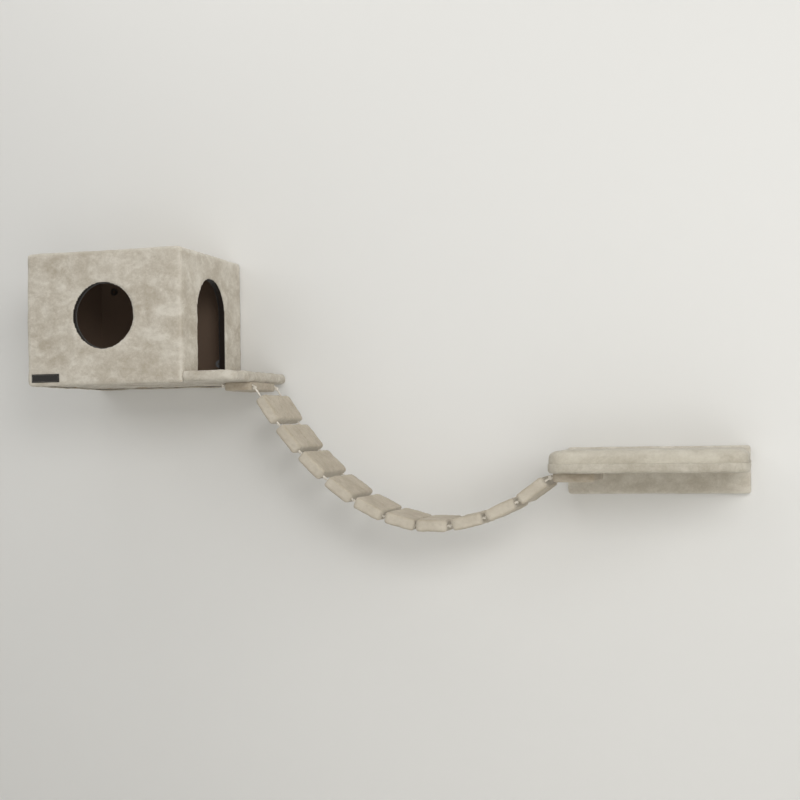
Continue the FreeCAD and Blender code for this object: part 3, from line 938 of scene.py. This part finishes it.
    def round_lips(self, cover: bpy.types.Object) -> None:
        """Rolls the plush gently over the edges of both openings."""
        reach = self.lip * 2
        for vertex in cover.data.vertices:
            spot = vertex.co
            radial = Vector((spot.x, 0, spot.z - self.door_rise))
            near = abs(radial.length - self.door_radius)
            depth = spot.y - self.low.y
            if near < reach and depth < reach and spot.x < self.high.x - 50 * MM:
                roll = self.lip * self.lip_roll * (1 - near / reach) * (1 - depth / reach)
                vertex.co.y += roll
                vertex.co += radial.normalized() * roll
        cover.data.update()

    def press_tag_seat(self, cover: bpy.types.Object) -> None:
        """Presses the plush down where the tag is sewn on, and a little around it."""
        low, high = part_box("blank_tag")
        seat = high.y + self.tag_sink
        for vertex in cover.data.vertices:
            spot = vertex.co
            aside = max(low.x - spot.x, spot.x - high.x, low.z - spot.z, spot.z - high.z, 0.0)
            if aside < self.tag_margin:
                spot.y = max(spot.y, seat - self.tag_slope * aside / self.tag_margin)
        cover.data.update()

    def note_sleeves(self, cover: bpy.types.Object, floor: float) -> None:
        """Notes in an attribute each point's depth past both openings' lips: the painted shade's
        mask.

        Args:
            cover: The finished plush skin.
            floor: Height of the floor's top.
        """
        near = self.sleeve_slack
        spring = floor + self.arch_height - self.arch_radius
        depths = []
        for vertex in cover.data.vertices:
            spot = vertex.co
            depth = 0.0
            if math.hypot(spot.x, spot.z - self.door_rise) < self.door_radius + near:
                depth = spot.y - self.low.y - self.door_lip
            rise = max(0.0, spot.z - spring)
            in_arch = math.hypot(spot.y - self.arch_middle, rise) < self.arch_radius + near
            if in_arch and spot.x > self.high.x - self.pocket and spot.z > floor - near:
                depth = max(depth, self.high.x - self.arch_lip - spot.x)
            depths.append(min(max(depth, 0.0), self.pocket))
        note = cover.data.attributes.new(SHADE_SLEEVE_ATTRIBUTE, "FLOAT", "POINT")
        note.data.foreach_set("value", depths)

    def build_lining(self) -> None:
        """Dark felt on the inner faces of the boards."""
        cavity_low, cavity_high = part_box("house_lining")
        shape = block(cavity_low, cavity_high)
        floor_faces = [f for f in shape.faces if f.normal.z < -0.9]
        bmesh.ops.delete(shape, geom=floor_faces, context="FACES")
        lining = link_mesh("house_felt", shape, self.palette.lining)
        thicken(lining, 1.8 * MM)
        bake_modifiers(lining)
        front = cavity_low.y
        right = cavity_high.x
        through = 10 * MM
        carve(lining, [
            self.door_cutter(self.door_radius + self.sleeve_slack, front - through,
                             front + through),
            self.arch_cutter(self.arch_radius + self.sleeve_slack, right - through,
                             right + through, cavity_low.z - through),
        ])
        lining.data.polygons.foreach_set("use_smooth", [False] * len(lining.data.polygons))
        dress(lining, replaces=("house_lining",))

    def build_tag(self) -> None:
        """Small blank tag with a stitched border."""
        low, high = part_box("blank_tag")
        size = high - low
        shape = bmesh.new()
        bmesh.ops.create_grid(shape, x_segments=24, y_segments=8, size=0.5)
        bmesh.ops.scale(shape, vec=(size.x, size.z, 1), verts=shape.verts)
        middle = Vector(((low.x + high.x) / 2, low.y, (low.z + high.z) / 2))
        place_shape(shape, Matrix.Translation(middle) @ UPRIGHT)
        tag = link_mesh("tag_tape", shape, self.palette.tag)
        thicken(tag, 0.7 * MM, offset=0)
        edge = tag.modifiers.new("edge", "BEVEL")
        edge.width = 0.2 * MM
        edge.segments = 2
        bake_modifiers(tag)
        dress(tag, replaces=("blank_tag",))
        self.build_tag_stitches(low, high)

    def build_tag_stitches(self, low: Vector, high: Vector) -> None:
        """Short stitches along the tag's border."""
        inset = 2.2 * MM
        step = 3.2 * MM
        half = 1.0 * MM
        rise = Vector((0, 0.15 * MM, 0))
        face_y = low.y - 0.45 * MM
        first = Vector((low.x + inset, face_y, low.z + inset))
        last = Vector((high.x - inset, face_y, high.z - inset))
        lines = []
        for along, across in ((0, 2), (2, 0)):
            reach = Vector()
            reach[along] = half
            for side in (first[across], last[across]):
                for index in range(int((last[along] - first[along]) / step)):
                    middle = first.copy()
                    middle[along] += (index + 0.5) * step
                    middle[across] = side
                    lines.append([middle - reach, middle - rise, middle + reach])
        thread = tube_curve("tag_stitches", lines, 0.25 * MM, sides=1)
        thread.data.materials.append(self.palette.stitch)
        dress(thread)


def dress_node(node: str, material: bpy.types.Material) -> None:
    """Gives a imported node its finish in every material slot."""
    piece = frame["nodes"][node]
    if not piece.material_slots:
        piece.data.materials.append(material)
    for place in piece.material_slots:
        place.link = "DATA"
        place.material = material
    log.info("node %s in %s", node, material.name)


# ------------------------------------------------------------------------------ landing
@dataclass
class Landing:
    """Floor of the house and the open landing beside it, in one plush wrap."""

    palette: Palette
    corner: float = 26 * MM
    rim: float = 9.5 * MM
    voxel: float = 3.0 * MM
    house_right: float = field(default_factory=lambda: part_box("house_cover")[1].x)

    def build(self) -> None:
        """Builds and dresses the floor's plush and shows the board finish."""
        low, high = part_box("floor_cover")
        shape = block(low, high)
        corners = [e for e in shape.edges
                   if is_upright(e) and all(v.co.x > high.x - TINY for v in e.verts)]
        round_edges(shape, corners, self.corner, 7)
        rims = [e for e in shape.edges
                if abs(e.verts[0].co.z - e.verts[1].co.z) < TINY
                and any(v.co.x > self.house_right for v in e.verts) and is_rim(e)]
        round_edges(shape, rims, self.rim, 4)
        cover = link_mesh("floor_plush", shape, self.palette.landing)
        self.cut_neck(cover, low, high)
        remesh(cover, self.voxel)
        # Painted sheen mask: every side that isn't level counts as turned, so the sides are
        # painted paler.
        mark_painted_sheen(cover, "z", 1.0)
        ruffle(cover, [(45 * MM, 1.8 * MM), (18 * MM, 1.6 * MM), (8 * MM, 0.5 * MM)], 2.2,
               lift=0.8 * MM)
        cut_back(cover, high.y)
        dress(cover, replaces=("floor_cover",))
        dress_node("floor_board", self.palette.board)

    def cut_neck(self, cover: bpy.types.Object, low: Vector, high: Vector) -> None:
        """Cuts the floor back to its neck between the front and back panels."""
        panel_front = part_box("house_left_panel")[0].y
        panel_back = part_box("house_left_panel")[1].y
        past = Vector((1, 1, 1)) * 5 * MM
        gap = 0.3 * MM
        cutters = []
        for y_low, y_high in ((low.y - past.y, panel_front), (panel_back, high.y + past.y)):
            shape = block(Vector((low.x - past.x, y_low, low.z - past.z)),
                          Vector((self.house_right + gap, y_high, high.z + past.z)))
            cutters.append(link_mesh("neck_cutter", shape, self.palette.landing))
        carve(cover, cutters)


# ------------------------------------------------------------------------------ cleats
@dataclass
class Cleat:
    """Plush-covered plank that holds one end of both ropes."""

    palette: Palette
    side: str
    corner: float = 12 * MM
    rim: float = 5 * MM
    voxel: float = 2.0 * MM

    def build(self) -> None:
        """Builds the cleat's plush and dresses its board and screws."""
        node = self.side + "_cleat_cover"
        shape = slab(box_size(node), self.corner, self.rim)
        place_shape(shape, Matrix.Translation(box_centre(node)))
        cover = link_mesh(self.side + "_cleat_plush", shape, self.palette.cleat)
        remesh(cover, self.voxel)
        ruffle(cover, [(30 * MM, 0.6 * MM), (9 * MM, 0.4 * MM)],
               4.0 if self.side == "left" else 6.0)
        dress(cover, replaces=(node,))
        dress_node(self.side + "_cleat_board", self.palette.board)
        dress_node(self.side + "_cleat_screws", self.palette.steel)


# ------------------------------------------------------------------------------ bridge
@dataclass
class Plank:
    """One plush-covered plank of the bridge."""

    palette: Palette
    index: int
    left: Vector
    right: Vector
    length: float = 71 * MM
    depth: float = 175 * MM
    thickness: float = 26 * MM
    corner: float = 9 * MM
    rim: float = 5.5 * MM
    voxel: float = 1.8 * MM

    @property
    def body(self) -> str:
        """Name of the plank's body."""
        return "plank_%02d" % self.index

    @property
    def along(self) -> Vector:
        """Direction from its left hinge to its right one."""
        return (self.right - self.left).normalized()

    @property
    def centre(self) -> Vector:
        """Middle of the plank."""
        return box_centre(self.body + "_cover")

    def matrix(self) -> Matrix:
        """Place of a plank made about the origin."""
        along = self.along
        up = along.cross(Vector((0, 1, 0))).normalized()
        turn = Matrix((along, Vector((0, 1, 0)), up)).transposed().to_4x4()
        return Matrix.Translation(self.centre) @ turn

    def build(self) -> None:
        """Builds the plank's plush and dresses its board."""
        shape = slab(Vector((self.length, self.depth, self.thickness)), self.corner, self.rim)
        cover = link_mesh(self.body + "_plush", shape, self.palette.plank)
        remesh(cover, self.voxel)
        # Painted sheen mask: every side that isn't level counts as turned, so the sides are
        # painted paler.
        mark_painted_sheen(cover, "z", 1.0)
        ruffle(cover, [(26 * MM, 1.0 * MM), (10 * MM, 0.8 * MM), (4.5 * MM, 0.3 * MM)],
               0.9 * self.index)
        cover.data.transform(self.matrix())
        dress(cover, self.body, (self.body + "_cover",))
        dress_node(self.body + "_board", self.palette.board)


@dataclass
class Bridge:
    """Ten planks on two ropes between the cleats."""

    palette: Palette
    count: int = 10
    bend: float = 4 * MM
    tail_inset: float = 5 * MM
    mouth_reach: float = 3 * MM
    mouth_slack: float = 1.5 * MM
    inner_reach: float = 12 * MM
    entry: tuple[float, ...] = (12 * MM, 30 * MM, 46 * MM)
    entry_blend: float = 28 * MM
    exit_reach: float = 6 * MM
    end_knot: float = 1.5
    hinge_knot: float = 1.45
    hinges: list[Vector] = field(default_factory=list)
    rows: dict[RopeRow, float] = field(default_factory=dict)
    planks: list[Plank] = field(default_factory=list)

    def measure(self) -> None:
        """Reads the hinges and the rope rows from the frame."""
        self.hinges = [Vector(joint["pos_m"]) for joint in frame["joints"]]
        low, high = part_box("right_rope_ends")
        knot = (high.z - low.z) / 2
        self.hinges.append(Vector((low.x + knot, self.hinges[0].y, (low.z + high.z) / 2)))
        self.rows = {RopeRow.FRONT: low.y + knot, RopeRow.BACK: high.y - knot}

    def build(self) -> None:
        """Builds every plank, then the ropes across the gaps."""
        self.measure()
        for index in range(self.count):
            plank = Plank(self.palette, index + 1, self.hinges[index], self.hinges[index + 1])
            plank.build()
            self.planks.append(plank)
        maker = RopeMaker(self.palette.rope)
        for row in RopeRow:
            self.build_left_end(maker, row)
            for index in range(1, self.count):
                self.build_gap(maker, row, index)
            self.build_right_end(maker, row)

    def at_row(self, point: Vector, row: RopeRow) -> Vector:
        """The point moved to a rope's row."""
        return Vector((point.x, self.rows[row], point.z))

    def build_gap(self, maker: RopeMaker, row: RopeRow, index: int) -> None:
        """Rope and knot across the gap between two planks.

        Args:
            maker: Maker of rope lengths.
            row: Which rope.
            index: Number of the plank before the gap.
        """
        before, after = self.planks[index - 1], self.planks[index]
        hinge = self.at_row(self.hinges[index], row)
        start = self.at_row(before.centre, row)
        end = self.at_row(after.centre, row)
        points = [start, hinge - before.along * (0.5 * (hinge - start).length),
                  hinge - before.along * self.bend, hinge + after.along * self.bend,
                  hinge + after.along * (0.5 * (end - hinge).length), end]
        along = (before.along + after.along).normalized()
        name = "rope_%s_%02d" % (row.value, index)
        rope = maker.length(name, points, [(hinge, along, 1.0)])
        if row is RopeRow.FRONT:
            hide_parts(before.body + "_ropes")
        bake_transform(rope)
        log.info("rope %s across %s and %s", name, before.body, after.body)

    def build_left_end(self, maker: RopeMaker, row: RopeRow) -> None:
        """Rope from the left cleat's stopper knot into the first plank."""
        low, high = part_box("left_rope_ends")
        cleat_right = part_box("left_cleat_board")[1].x
        bore = high.z - self.tail_inset
        first = self.planks[0]
        hinge = self.at_row(self.hinges[0], row)
        tail = Vector((low.x + self.tail_inset, self.rows[row], bore))
        mouth = Vector((cleat_right + self.mouth_reach, self.rows[row], bore))
        inner = Vector((cleat_right - self.inner_reach, self.rows[row], bore))
        end = self.at_row(first.centre, row)
        points = [tail, (tail + inner) / 2, inner, mouth + Vector((self.mouth_slack, 0, 0)),
                  hinge, *(hinge + first.along * reach for reach in self.entry), end]
        down = (hinge - mouth).normalized()
        name = "rope_%s_00" % row.value
        rope = maker.length(name, points, [(tail, Vector((1, 0, 0)), self.end_knot),
                                           (hinge, down, self.hinge_knot)])
        if row is RopeRow.FRONT:
            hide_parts("left_rope_ends")
        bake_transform(rope)
        log.info("rope %s across the left cleat and %s", name, first.body)

    def build_right_end(self, maker: RopeMaker, row: RopeRow) -> None:
        """Rope from the last plank to the right cleat's stopper knot."""
        last = self.planks[-1]
        hinge = self.at_row(self.hinges[-1], row)
        start = self.at_row(last.centre, row)
        points = [start, (start + hinge) / 2, hinge - last.along * self.exit_reach, hinge]
        name = "rope_%s_%02d" % (row.value, self.count)
        rope = maker.length(name, points, [])
        if row is RopeRow.FRONT:
            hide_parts(last.body + "_ropes")
        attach(rope, last.body)
        cleat_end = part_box("right_rope_ends")[1].x
        tail = Vector((cleat_end - self.tail_inset, self.rows[row], hinge.z))
        end = maker.length("rope_%s_end" % row.value,
                           [hinge, hinge.lerp(tail, 0.33), hinge.lerp(tail, 0.66), tail],
                           [(hinge, Vector((1, 0, 0.4)).normalized(), self.end_knot),
                            (tail, Vector((1, 0, 0)), self.end_knot)])
        dress(end, replaces=("right_rope_ends",) if row is RopeRow.FRONT else ())


# ------------------------------------------------------------------------------ shelf
@dataclass
class Shelf:
    """Padded shelf on its plush-covered backboard."""

    palette: Palette
    corner: float = 34 * MM
    soft_rim: float = 11 * MM
    under_rim: float = 6.5 * MM
    seam_rim: float = 0.6 * MM
    meet: float = 2.5 * MM
    skirt: float = 9 * MM
    base_inset: float = 1.0 * MM
    cushion_voxel: float = 4.5 * MM
    cushion_overhang: float = 1.6 * MM
    crown: float = 3.5 * MM
    swell_limit: float = 5 * MM
    spare_depth: float = 8 * MM
    board_proud: float = 0.5 * MM
    base_voxel: float = 2.4 * MM
    board_corner: float = 5 * MM
    board_rim: float = 3.5 * MM
    pressure: float = 4.0
    swell_frames: int = 20

    def build(self) -> None:
        """Builds and dresses every piece of the shelf."""
        self.build_base()
        self.build_backboard()
        self.build_cushion()
        dress_node("shelf_board", self.palette.board)
        dress_node("backboard", self.palette.board)
        dress_node("shelf_screws", self.palette.steel)

    def raw_slab(self, low: Vector, high: Vector, top_rim: float,
                 low_rim: float) -> bmesh.types.BMesh:
        """Slab square at its back, rounded at its front corners and at both rims."""
        shape = block(low, high)
        corners = [e for e in shape.edges
                   if is_upright(e) and all(v.co.y < low.y + TINY for v in e.verts)]
        round_edges(shape, corners, self.corner, 8)
        for level, rim in ((high.z, top_rim), (low.z, low_rim)):
            rims = [e for e in shape.edges
                    if all(abs(v.co.z - level) < TINY for v in e.verts)
                    and not all(v.co.y > high.y - TINY for v in e.verts) and is_rim(e)]
            round_edges(shape, rims, rim, 4)
        return shape

    def build_base(self) -> None:
        """Plush round the shelf board."""
        low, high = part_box("shelf_board_cover")
        inset = Vector((self.base_inset, self.base_inset, 0))
        shape = self.raw_slab(low + inset, high + Vector((-self.base_inset, 0, self.meet)),
                              self.seam_rim, self.under_rim)
        cover = link_mesh("shelf_base_plush", shape, self.palette.base)
        remesh(cover, self.base_voxel)
        ruffle(cover, [(40 * MM, 0.9 * MM), (13 * MM, 0.5 * MM)], 7.1)
        dress(cover, replaces=("shelf_board_cover",))

    def build_backboard(self) -> None:
        """Plush on the backboard, cut off flat just short of the mounting plane."""
        low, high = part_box("backboard_cover")
        wall = high.y
        high.y += self.spare_depth
        size = high - low
        shape = slab(Vector((size.x, size.z, size.y)), self.board_corner, self.board_rim)
        place_shape(shape, Matrix.Translation((low + high) / 2) @ UPRIGHT)
        cover = link_mesh("backboard_plush", shape, self.palette.back)
        remesh(cover, self.base_voxel)
        ruffle(cover, [(36 * MM, 0.8 * MM), (11 * MM, 0.5 * MM)], 9.4)
        cut_back(cover, wall - self.board_proud)
        dress(cover, replaces=("backboard_cover",))

    def build_cushion(self) -> None:
        """Crowned cushion, swollen by cloth simulation."""
        low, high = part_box("shelf_cushion_cover")
        out = self.cushion_overhang
        bottom = low.z - self.skirt
        shape = self.raw_slab(Vector((low.x - out, low.y - out, bottom)),
                              Vector((high.x + out, high.y - 0.5 * MM, high.z - self.crown)),
                              self.soft_rim, self.seam_rim)
        cushion = link_mesh("shelf_cushion", shape, self.palette.shelf)
        remesh(cushion, self.cushion_voxel)
        swell(cushion, self.pressure, self.swell_frames, self.swell_limit)
        self.press_flat(cushion, bottom, high.y)
        finer = cushion.modifiers.new("finer", "SUBSURF")
        finer.levels = 1
        finer.render_levels = 1
        bake_modifiers(cushion)
        mark_painted_sheen(cushion, "xyz")
        ruffle(cushion, [(50 * MM, 1.2 * MM), (15 * MM, 0.6 * MM), (7 * MM, 0.2 * MM)], 12.5)
        self.press_flat(cushion, bottom, high.y)
        dress(cushion, replaces=("shelf_cushion_cover", "shelf_cushion_foam"))

    def press_flat(self, cushion: bpy.types.Object, bottom: float, back: float) -> None:
        """Presses the cushion flat onto its board and against the backboard."""
        for vertex in cushion.data.vertices:
            vertex.co.z = max(vertex.co.z, bottom)
            vertex.co.y = min(vertex.co.y, back)
        cushion.data.update()


def cut_back(piece: bpy.types.Object, place: float) -> None:
    """Cuts a closed piece off at a plane square to Y and closes it there.

    Args:
        piece: The piece.
        place: Where the plane is.
    """
    shape = bmesh.new()
    shape.from_mesh(piece.data)
    cut = cut_plane(shape, Vector((0, place, 0)), (0, 1, 0), clear=True)
    rim = [e for e in cut if isinstance(e, bmesh.types.BMEdge)]
    bmesh.ops.holes_fill(shape, edges=rim, sides=0)
    shape.to_mesh(piece.data)
    shape.free()


def swell(piece: bpy.types.Object, pressure: float, frames: int, limit: float) -> None:
    """Blows up a pad by cloth simulation, with each point's travel capped.

    Args:
        piece: The pad, with an even closed mesh.
        pressure: Pressure inside.
        frames: Frames that the simulation runs.
        limit: Longest way that a point may move.
    """
    rest = [vertex.co.copy() for vertex in piece.data.vertices]
    cloth = piece.modifiers.new("cloth", "CLOTH")
    settings = cloth.settings
    settings.quality = 5
    settings.mass = 0.3
    settings.tension_stiffness = 15
    settings.compression_stiffness = 15
    settings.bending_stiffness = 0.5
    settings.use_pressure = True
    settings.uniform_pressure_force = pressure
    settings.effector_weights.gravity = 0.0
    cloth.point_cache.frame_start = 1
    cloth.point_cache.frame_end = frames
    scene = bpy.context.scene
    for step in range(1, frames + 1):
        scene.frame_set(step)
    bake_modifiers(piece)
    scene.frame_set(1)
    for vertex, old in zip(piece.data.vertices, rest):
        travel = vertex.co - old
        if travel.length > limit:
            vertex.co = old + travel.normalized() * limit
    piece.data.update()


# ------------------------------------------------------------------------------ studio
@dataclass
class Studio:
    """Camera, lamps, pale floor and pale backdrop."""

    eye: Vector = field(default_factory=lambda: Vector((1.4945, -3.062, -0.2789)))
    yaw: float = math.radians(-15.737)
    pitch: float = math.radians(1.358)
    roll: float = math.radians(-0.874)
    lens: float = 36.0 * 1273.5 / 800
    floor_height: float = -1.45
    hidden_margin: float = 12 * MM

    def build(self) -> None:
        """Builds the camera, the stage and the lamps."""
        self.build_camera()
        self.build_stage()
        self.build_lamps()
        view = bpy.context.scene.view_settings
        view.view_transform = "Standard"

    def build_camera(self) -> None:
        """Camera at the viewing angle of the reference."""
        ahead = Vector((math.sin(self.yaw) * math.cos(self.pitch),
                        math.cos(self.yaw) * math.cos(self.pitch), math.sin(self.pitch)))
        level = Vector((math.cos(self.yaw), -math.sin(self.yaw), 0))
        raised = level.cross(ahead)
        right = level * math.cos(self.roll) + raised * math.sin(self.roll)
        upward = raised * math.cos(self.roll) - level * math.sin(self.roll)
        data = bpy.data.cameras.new("camera")
        data.lens = self.lens
        data.sensor_width = 36.0
        data.clip_end = 100.0
        camera = add_object("camera", data)
        turn = Matrix((right, upward, -ahead)).transposed().to_4x4()
        camera.matrix_world = Matrix.Translation(self.eye) @ turn
        bpy.context.scene.camera = camera

    def build_stage(self) -> None:
        """Pale floor, and a pale backdrop that can't be seen from behind."""
        floor = self.sheet("stage_floor", Vector((8, 8)), self.plain("Stage floor", 224, 223, 220))
        floor.data.transform(Matrix.Translation((0.6, 0, self.floor_height)))
        wall = self.sheet("stage_backdrop", Vector((8, 5)), self.one_sided("Stage backdrop"))
        wall.data.transform(Matrix.Translation((0.6, 1.5 * MM, 1.0)) @ UPRIGHT)
        for node in ("house_cover", "backboard_cover"):
            self.open_behind(wall, node)

    def open_behind(self, wall: bpy.types.Object, node: str) -> None:
        """Leaves the backdrop open behind a node, so that the rear lamps reach its back.

        Args:
            wall: The backdrop.
            node: Node that covers the opening from the front.
        """
        margin = Vector((1, 1, 1)) * self.hidden_margin
        low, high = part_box(node)
        low, high = low + margin, high - margin
        shape = bmesh.new()
        shape.from_mesh(wall.data)
        for spot, normal in ((low, (1, 0, 0)), (high, (1, 0, 0)), (low, (0, 0, 1)),
                             (high, (0, 0, 1))):
            cut_plane(shape, spot, normal)
        centres = [(face, face.calc_center_median()) for face in shape.faces]
        gone = [face for face, spot in centres
                if low.x < spot.x < high.x and low.z < spot.z < high.z]
        bmesh.ops.delete(shape, geom=gone, context="FACES")
        shape.to_mesh(wall.data)
        shape.free()

    def sheet(self, name: str, size: Vector, material: bpy.types.Material) -> bpy.types.Object:
        """A flat rectangle of the stage."""
        shape = bmesh.new()
        bmesh.ops.create_grid(shape, x_segments=8, y_segments=8, size=0.5)
        bmesh.ops.scale(shape, vec=(size.x, size.y, 1), verts=shape.verts)
        mesh = bpy.data.meshes.new(name)
        shape.to_mesh(mesh)
        shape.free()
        mesh.materials.append(material)
        return add_object(name, mesh)

    def plain(self, name: str, red: float, green: float, blue: float) -> bpy.types.Material:
        """Matt paint of one colour."""
        material, _, shader = start_material(name)
        shader.inputs["Base Color"].default_value = srgb(red, green, blue)
        shader.inputs["Roughness"].default_value = 0.9
        shader.inputs["Specular IOR Level"].default_value = 0.1
        return material

    def one_sided(self, name: str) -> bpy.types.Material:
        """Matt paint that is clear from behind."""
        material = self.plain(name, 224, 223, 219)
        graph = Graph(material.node_tree)
        nodes = material.node_tree.nodes
        clear = graph.add("BsdfTransparent")
        behind = graph.add("NewGeometry").outputs["Backfacing"]
        mix = graph.add("MixShader", {0: behind, 1: nodes["Principled BSDF"].outputs[0],
                                      2: clear.outputs[0]})
        material.node_tree.links.new(mix.outputs[0], nodes["Material Output"].inputs[0])
        return material

    def lamp(self, name: str, place: Vector, aim: Vector, size: float, power: float) -> None:
        """A square soft lamp.

        Args:
            name: Name of the lamp.
            place: Where it stands.
            aim: Point that it faces.
            size: Length of its side.
            power: Power in watts.
        """
        data = bpy.data.lights.new(name, "AREA")
        data.size = size
        data.energy = power
        lamp = add_object(name, data)
        lamp.matrix_world = Matrix.Translation(place) @ \
            (aim - place).to_track_quat("-Z", "Y").to_matrix().to_4x4()

    def build_lamps(self) -> None:
        """Soft lamps on both sides in front, one above, and two behind for the rear views."""
        aim = Vector((0.6, 0, -0.1))
        self.lamp("lamp_left", Vector((-1.7, -2.9, 1.3)), aim, 1.9, 14)
        self.lamp("lamp_right", Vector((3.4, -2.2, 0.7)), aim, 1.9, 26)
        self.lamp("lamp_room", Vector((2.1, -3.3, 0.9)), aim, 1.1, 30)
        self.lamp("lamp_low", Vector((1.7, -2.9, -1.25)), aim, 2.0, 24)
        self.lamp("lamp_wall", Vector((0.1, -0.9, 2.4)), Vector((0.2, 0.0, 0.3)), 1.6, 17)
        self.lamp("lamp_behind", Vector((1.8, 3.2, 1.2)), aim, 1.6, 44)
        self.lamp("lamp_behind_low", Vector((-0.8, 3.0, -0.4)), aim, 1.6, 26)
        world = bpy.data.worlds.new("studio")
        world.use_nodes = True
        shade = world.node_tree.nodes["Background"]
        shade.inputs["Color"].default_value = (1.0, 0.995, 0.99, 1.0)
        shade.inputs["Strength"].default_value = 0.36
        bpy.context.scene.world = world


def main() -> None:
    """Builds the studio and every sub-assembly."""
    logging.basicConfig(level=logging.INFO, format="%(message)s")
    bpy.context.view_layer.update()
    Studio().build()
    palette = Palette()
    House(palette).build()
    Landing(palette).build()
    Cleat(palette, "left").build()
    Bridge(palette).build()
    Cleat(palette, "right").build()
    Shelf(palette).build()


if __name__ == "__main__":
    main()
